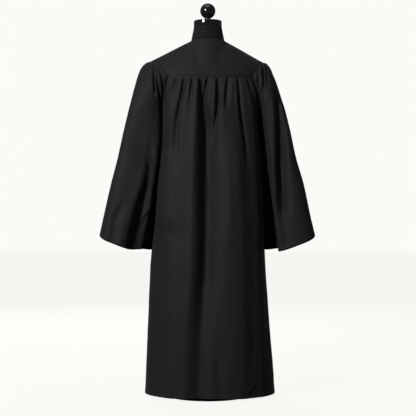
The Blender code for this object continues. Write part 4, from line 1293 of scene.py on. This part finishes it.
def routeOn(place, columns, rows):
    # points along a line on the cloth, and the way out of it at each
    nudge = 0.0004
    columns = np.asarray(columns, float) + 0 * np.asarray(rows, float)
    rows = np.asarray(rows, float) + 0 * columns
    points = place(columns, rows)
    sideways = place(columns + nudge, rows) - place(columns - nudge, rows)
    upwards = place(columns, rows + nudge) - place(columns, rows - nudge)
    out = np.cross(sideways, upwards)
    return points, out / np.linalg.norm(out, axis=1)[:, None]


def stitchRow(mesh, stitch, points, out, facing, rise=0.00008):
    length = np.concatenate([[0], np.cumsum(np.linalg.norm(np.diff(points, axis=0), axis=1))])
    count = int(length[-1] / sewing["pitch"])
    marks = (np.arange(count) + 0.5) * sewing["pitch"]
    for mark in marks:
        at = Vector([np.interp(mark, length, points[:, i]) for i in range(3)])
        ahead = Vector([np.interp(mark + 0.0008, length, points[:, i]) for i in range(3)])
        normal = Vector([np.interp(mark, length, out[:, i]) for i in range(3)]).normalized()
        if normal.dot(Vector(facing(*at))) < 0:
            normal = -normal
        way = (ahead - at).normalized()
        cross = normal.cross(way).normalized()
        turn = Matrix((way, cross, normal)).transposed().to_4x4()
        placed = stitch.copy()
        placed.transform(Matrix.Translation(at + normal * rise) @ turn)
        mesh.from_mesh(placed)
        bpy.data.meshes.remove(placed)


def makeSewing():
    stitch = beadMesh((sewing["length"], sewing["thread"] * 1.3, sewing["thread"]))
    rows = bmesh.new()
    hemHeight = gown["hem"] + sewing["fromEdge"]
    fine = np.linspace(-0.998, 0.998, 700)
    stitchRow(rows, stitch, *routeOn(backPanelPlace, fine, hemHeight), backwards)
    neckShare = gown["backNeckShare"] * 0.99
    neck = np.linspace(-neckShare, neckShare, 160)
    stitchRow(rows, stitch, *routeOn(backYokePlace, neck, 0.055), upAndBack)
    for side in (1, -1):
        front = frontPanelPlace(side)
        stitchRow(rows, stitch, *routeOn(front, np.linspace(0.03, 0.998, 400), hemHeight), forwards)
        heights = np.linspace(gown["hem"] + 0.012, gown["frontSeam"] - 0.002, 700)
        shares = placketShare(side, heights)
        stitchRow(rows, stitch, *routeOn(front, shares, heights), forwards)
        yoke = frontYokePlace(side)
        down = np.linspace(0.05, 0.97, 80)
        stitchRow(rows, stitch, *routeOn(yoke, 0.06 + 0 * down, down), upAndFront)
        neckLine = np.linspace(0.06, gown["frontNeckShare"] * 0.98, 120)
        stitchRow(rows, stitch, *routeOn(yoke, neckLine, 0.05), upAndFront)
        around = np.linspace(0.001, 0.999, 500)
        cuff = 1 - sewing["fromEdge"] / gown["cuffLength"]
        stitchRow(rows, stitch, *routeOn(sleevePlace(side), around, cuff), awayFromArm(side))
    piece = finishPiece("sewing", rows, threadBlack)
    bpy.data.meshes.remove(stitch)
    print("sewing made", len(piece.data.polygons))


def placketShare(side, heights):
    # the share across a front at which it lies 11 mm from the middle
    shares = np.linspace(0, 0.3, 200)
    found = []
    for height in heights:
        point, _ = bodyWall(-1, side * shares, height + 0 * shares)
        found.append(np.interp(sewing["fromEdge"], np.abs(point[:, 0]), shares))
    return np.array(found)


makeSewing()


# Zip


def makeCoil():
    wire = zipper["wire"]
    turn = beadMesh((zipper["coilHalf"] * 1.15, wire * 2.2, wire * 2))
    mesh = bmesh.new()
    top = zipper["slider"] + 0.010
    heights = np.arange(zipper["bottom"] + 0.002, top, zipper["pitch"] / 2)
    place, out = frontMiddle(heights)
    for i, height in enumerate(heights):
        side = 1 if i % 2 else -1
        tilt = math.atan2(-out[i, 1], -out[i, 0])
        y, z = place[i] - out[i] * (gown["seamGap"] - wire * 0.6)
        placed = turn.copy()
        turnMatrix = Matrix.Rotation(math.pi / 2 + tilt, 4, "X")
        turnMatrix = turnMatrix @ Matrix.Rotation(side * 0.22, 4, "Z")
        placed.transform(Matrix.Translation((side * zipper["coilHalf"] * 0.5, y, z)) @ turnMatrix)
        mesh.from_mesh(placed)
        bpy.data.meshes.remove(placed)
    bpy.data.meshes.remove(turn)
    piece = finishPiece("zipCoil", mesh, nylonBlack)
    print("zip coil made", len(piece.data.polygons))


makeCoil()


def repaint(node, material):
    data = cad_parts[node].data
    data.materials.clear()
    data.materials.append(material)


repaint("zip_chain", tapeBlack)
repaint("zip_slider", enamelBlack)
repaint("zip_pull", enamelBlack)


# Dress form

form = {
    "torsoBottom": 0.550,
    "capRadius": 0.051,
    "capBottom": 1.343,
    "capTop": 1.365,
    "ballRadius": 0.028,
    "ballHeight": 1.401,
    "stemRadius": 0.010,
    "poleRadius": 0.0125,
    "baseRadius": 0.150,
    "baseThickness": 0.012,
    "seamWidth": 0.0011,
    "seamDepth": 0.0010,
}
formColumns = ("height", "side", "back", "front", "power")
formRows = (
    (1.3427, 0.051, 0.051, 0.051, 2.0),
    (1.325, 0.054, 0.053, 0.053, 2.0),
    (1.306, 0.058, 0.055, 0.056, 2.0),
    (1.295, 0.06, 0.0555, 0.0565, 2.0),
    (1.285, 0.064, 0.053, 0.053, 1.6),
    (1.27, 0.0915, 0.056, 0.056, 1.2),
    (1.25, 0.127, 0.063, 0.066, 1.3),
    (1.23, 0.16, 0.068, 0.076, 1.4),
    (1.215, 0.18, 0.072, 0.086, 1.6),
    (1.195, 0.186, 0.076, 0.096, 1.8),
    (1.16, 0.176, 0.082, 0.104, 2.0),
    (1.11, 0.152, 0.089, 0.112, 2.2),
    (1.05, 0.143, 0.092, 0.12, 2.1),
    (0.99, 0.14, 0.09, 0.115, 2.1),
    (0.92, 0.125, 0.086, 0.1, 2.1),
    (0.87, 0.127, 0.088, 0.098, 2.1),
    (0.79, 0.144, 0.1, 0.106, 2.1),
    (0.7, 0.152, 0.106, 0.108, 2.1),
    (0.61, 0.148, 0.102, 0.102, 2.1),
    (0.56, 0.144, 0.098, 0.098, 2.1),
    (0.55, 0.138, 0.092, 0.092, 2.1),
)
formShape = columnsOf(formColumns, formRows)


def formPlace(around, height):
    angle = np.asarray(around) * 2 * math.pi
    side, back, front, power = (
        valueAt(formShape, name, height) for name in ("side", "back", "front", "power")
    )
    x = side * signedPower(np.sin(angle), 2 / power)
    depth = np.where(np.cos(angle) > 0, back, front)
    y = depth * signedPower(np.cos(angle), 2 / power)
    seam = form["seamDepth"] * bell(x, form["seamWidth"])
    seam = seam - 0.45 * form["seamDepth"] * bell(np.abs(x) - 0.0028, 0.0012)
    y = y - np.sign(y) * seam
    return np.stack([x, y, height + 0 * x], -1)


def makeFormCover():
    beside = np.array([0, 0.0012, 0.0025, 0.0042, 0.006, 0.0078, 0.0098, 0.013, 0.018])
    quarter = np.concatenate([beside, np.linspace(0.026, 0.25, 24)])
    half = np.concatenate([quarter, 0.5 - quarter[::-1][1:]])
    around = np.concatenate([half, 1 - half[::-1][1:]])
    rows = spread(formShape["height"], 110)

    def outwards(x, y, z):
        size = math.hypot(x, y) or 1
        return (x / size, y / size, 0)

    grid = carriedGrid(around, rows, formPlace, outwards)
    rims = [edge for edge in grid.edges if edge.is_boundary]
    bmesh.ops.holes_fill(grid, edges=rims, sides=0)
    bmesh.ops.recalc_face_normals(grid, faces=grid.faces)
    piece = finishPiece("formCover", grid, jerseyBlack)
    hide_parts("form_torso")


def makeTurned(name, profile, steps, material, node):
    # a profile from the axis round to the axis, spun about Z
    line = bmesh.new()
    points = [line.verts.new((radius, 0, height)) for radius, height in profile]
    for first, second in zip(points, points[1:]):
        line.edges.new((first, second))
    bmesh.ops.spin(
        line,
        geom=line.verts[:] + line.edges[:],
        cent=(0, 0, 0),
        axis=(0, 0, 1),
        angle=2 * math.pi,
        steps=steps,
        use_merge=True,
    )
    bmesh.ops.remove_doubles(line, verts=line.verts, dist=0.00001)
    bmesh.ops.recalc_face_normals(line, faces=line.faces)
    piece = finishPiece(name, line, material)
    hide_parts(node)
    return piece


def roundedCorner(radius, height, size, fromTurn, toTurn, steps=6):
    return [
        (radius + size * math.sin(turn), height + size * math.cos(turn))
        for turn in np.linspace(fromTurn, toTurn, steps)
    ]


def makeCap():
    edge = 0.003
    crown = [
        (share * (form["capRadius"] - edge), form["capTop"] + 0.002 - 0.002 * share**2)
        for share in np.linspace(0, 0.96, 12)
    ]
    top = roundedCorner(form["capRadius"] - edge, form["capTop"] - edge, edge, 0, math.pi / 2)
    small = edge / 3
    low = roundedCorner(
        form["capRadius"] - small, form["capBottom"] + small, small, math.pi / 2, math.pi, 4
    )
    profile = crown + top + low + [(0, form["capBottom"])]
    makeTurned("neckCap", profile, 96, glossBlack, "neck_cap")


def makeFinial():
    ballSize = form["ballRadius"]
    meeting = math.asin(form["stemRadius"] / ballSize)
    ball = [
        (ballSize * math.sin(turn), form["ballHeight"] + ballSize * math.cos(turn))
        for turn in np.linspace(0, math.pi - meeting, 40)
    ]
    bottom = form["capTop"] + 0.0024
    stem = form["stemRadius"]
    flare = [(stem * 1.02, bottom + 0.004), (stem * 1.12, bottom + 0.0025)]
    flare += [(stem * 1.35, bottom + 0.0012), (stem * 1.7, bottom + 0.0003)]
    flare += [(stem * 1.7, bottom), (0, bottom)]
    makeTurned("finialBall", ball + flare, 72, glossBlack, "finial")


def makeStand():
    low = form["baseThickness"] + 0.0004
    high = form["torsoBottom"] - 0.0004
    radius = form["poleRadius"]
    pole = [(0, high), (radius - 0.001, high), (radius, high - 0.001), (radius, low + 0.001)]
    pole += [(radius - 0.001, low), (0, low)]
    makeTurned("standPole", pole, 40, paintBlack, "pole")
    thick = form["baseThickness"]
    reach = form["baseRadius"]
    base = [(0, thick), (reach - 0.031, thick), (reach - 0.028, thick * 0.985)]
    base += [(reach - 0.016, thick * 0.78)]
    base += [(reach - 0.004, thick * 0.55), (reach - 0.001, thick * 0.44), (reach, thick * 0.3)]
    base += [(reach, 0.0008), (reach - 0.0008, 0), (0, 0)]
    makeTurned("standBase", base, 96, paintBlack, "base")


makeFormCover()
makeCap()
makeFinial()
makeStand()
print("dress form made")
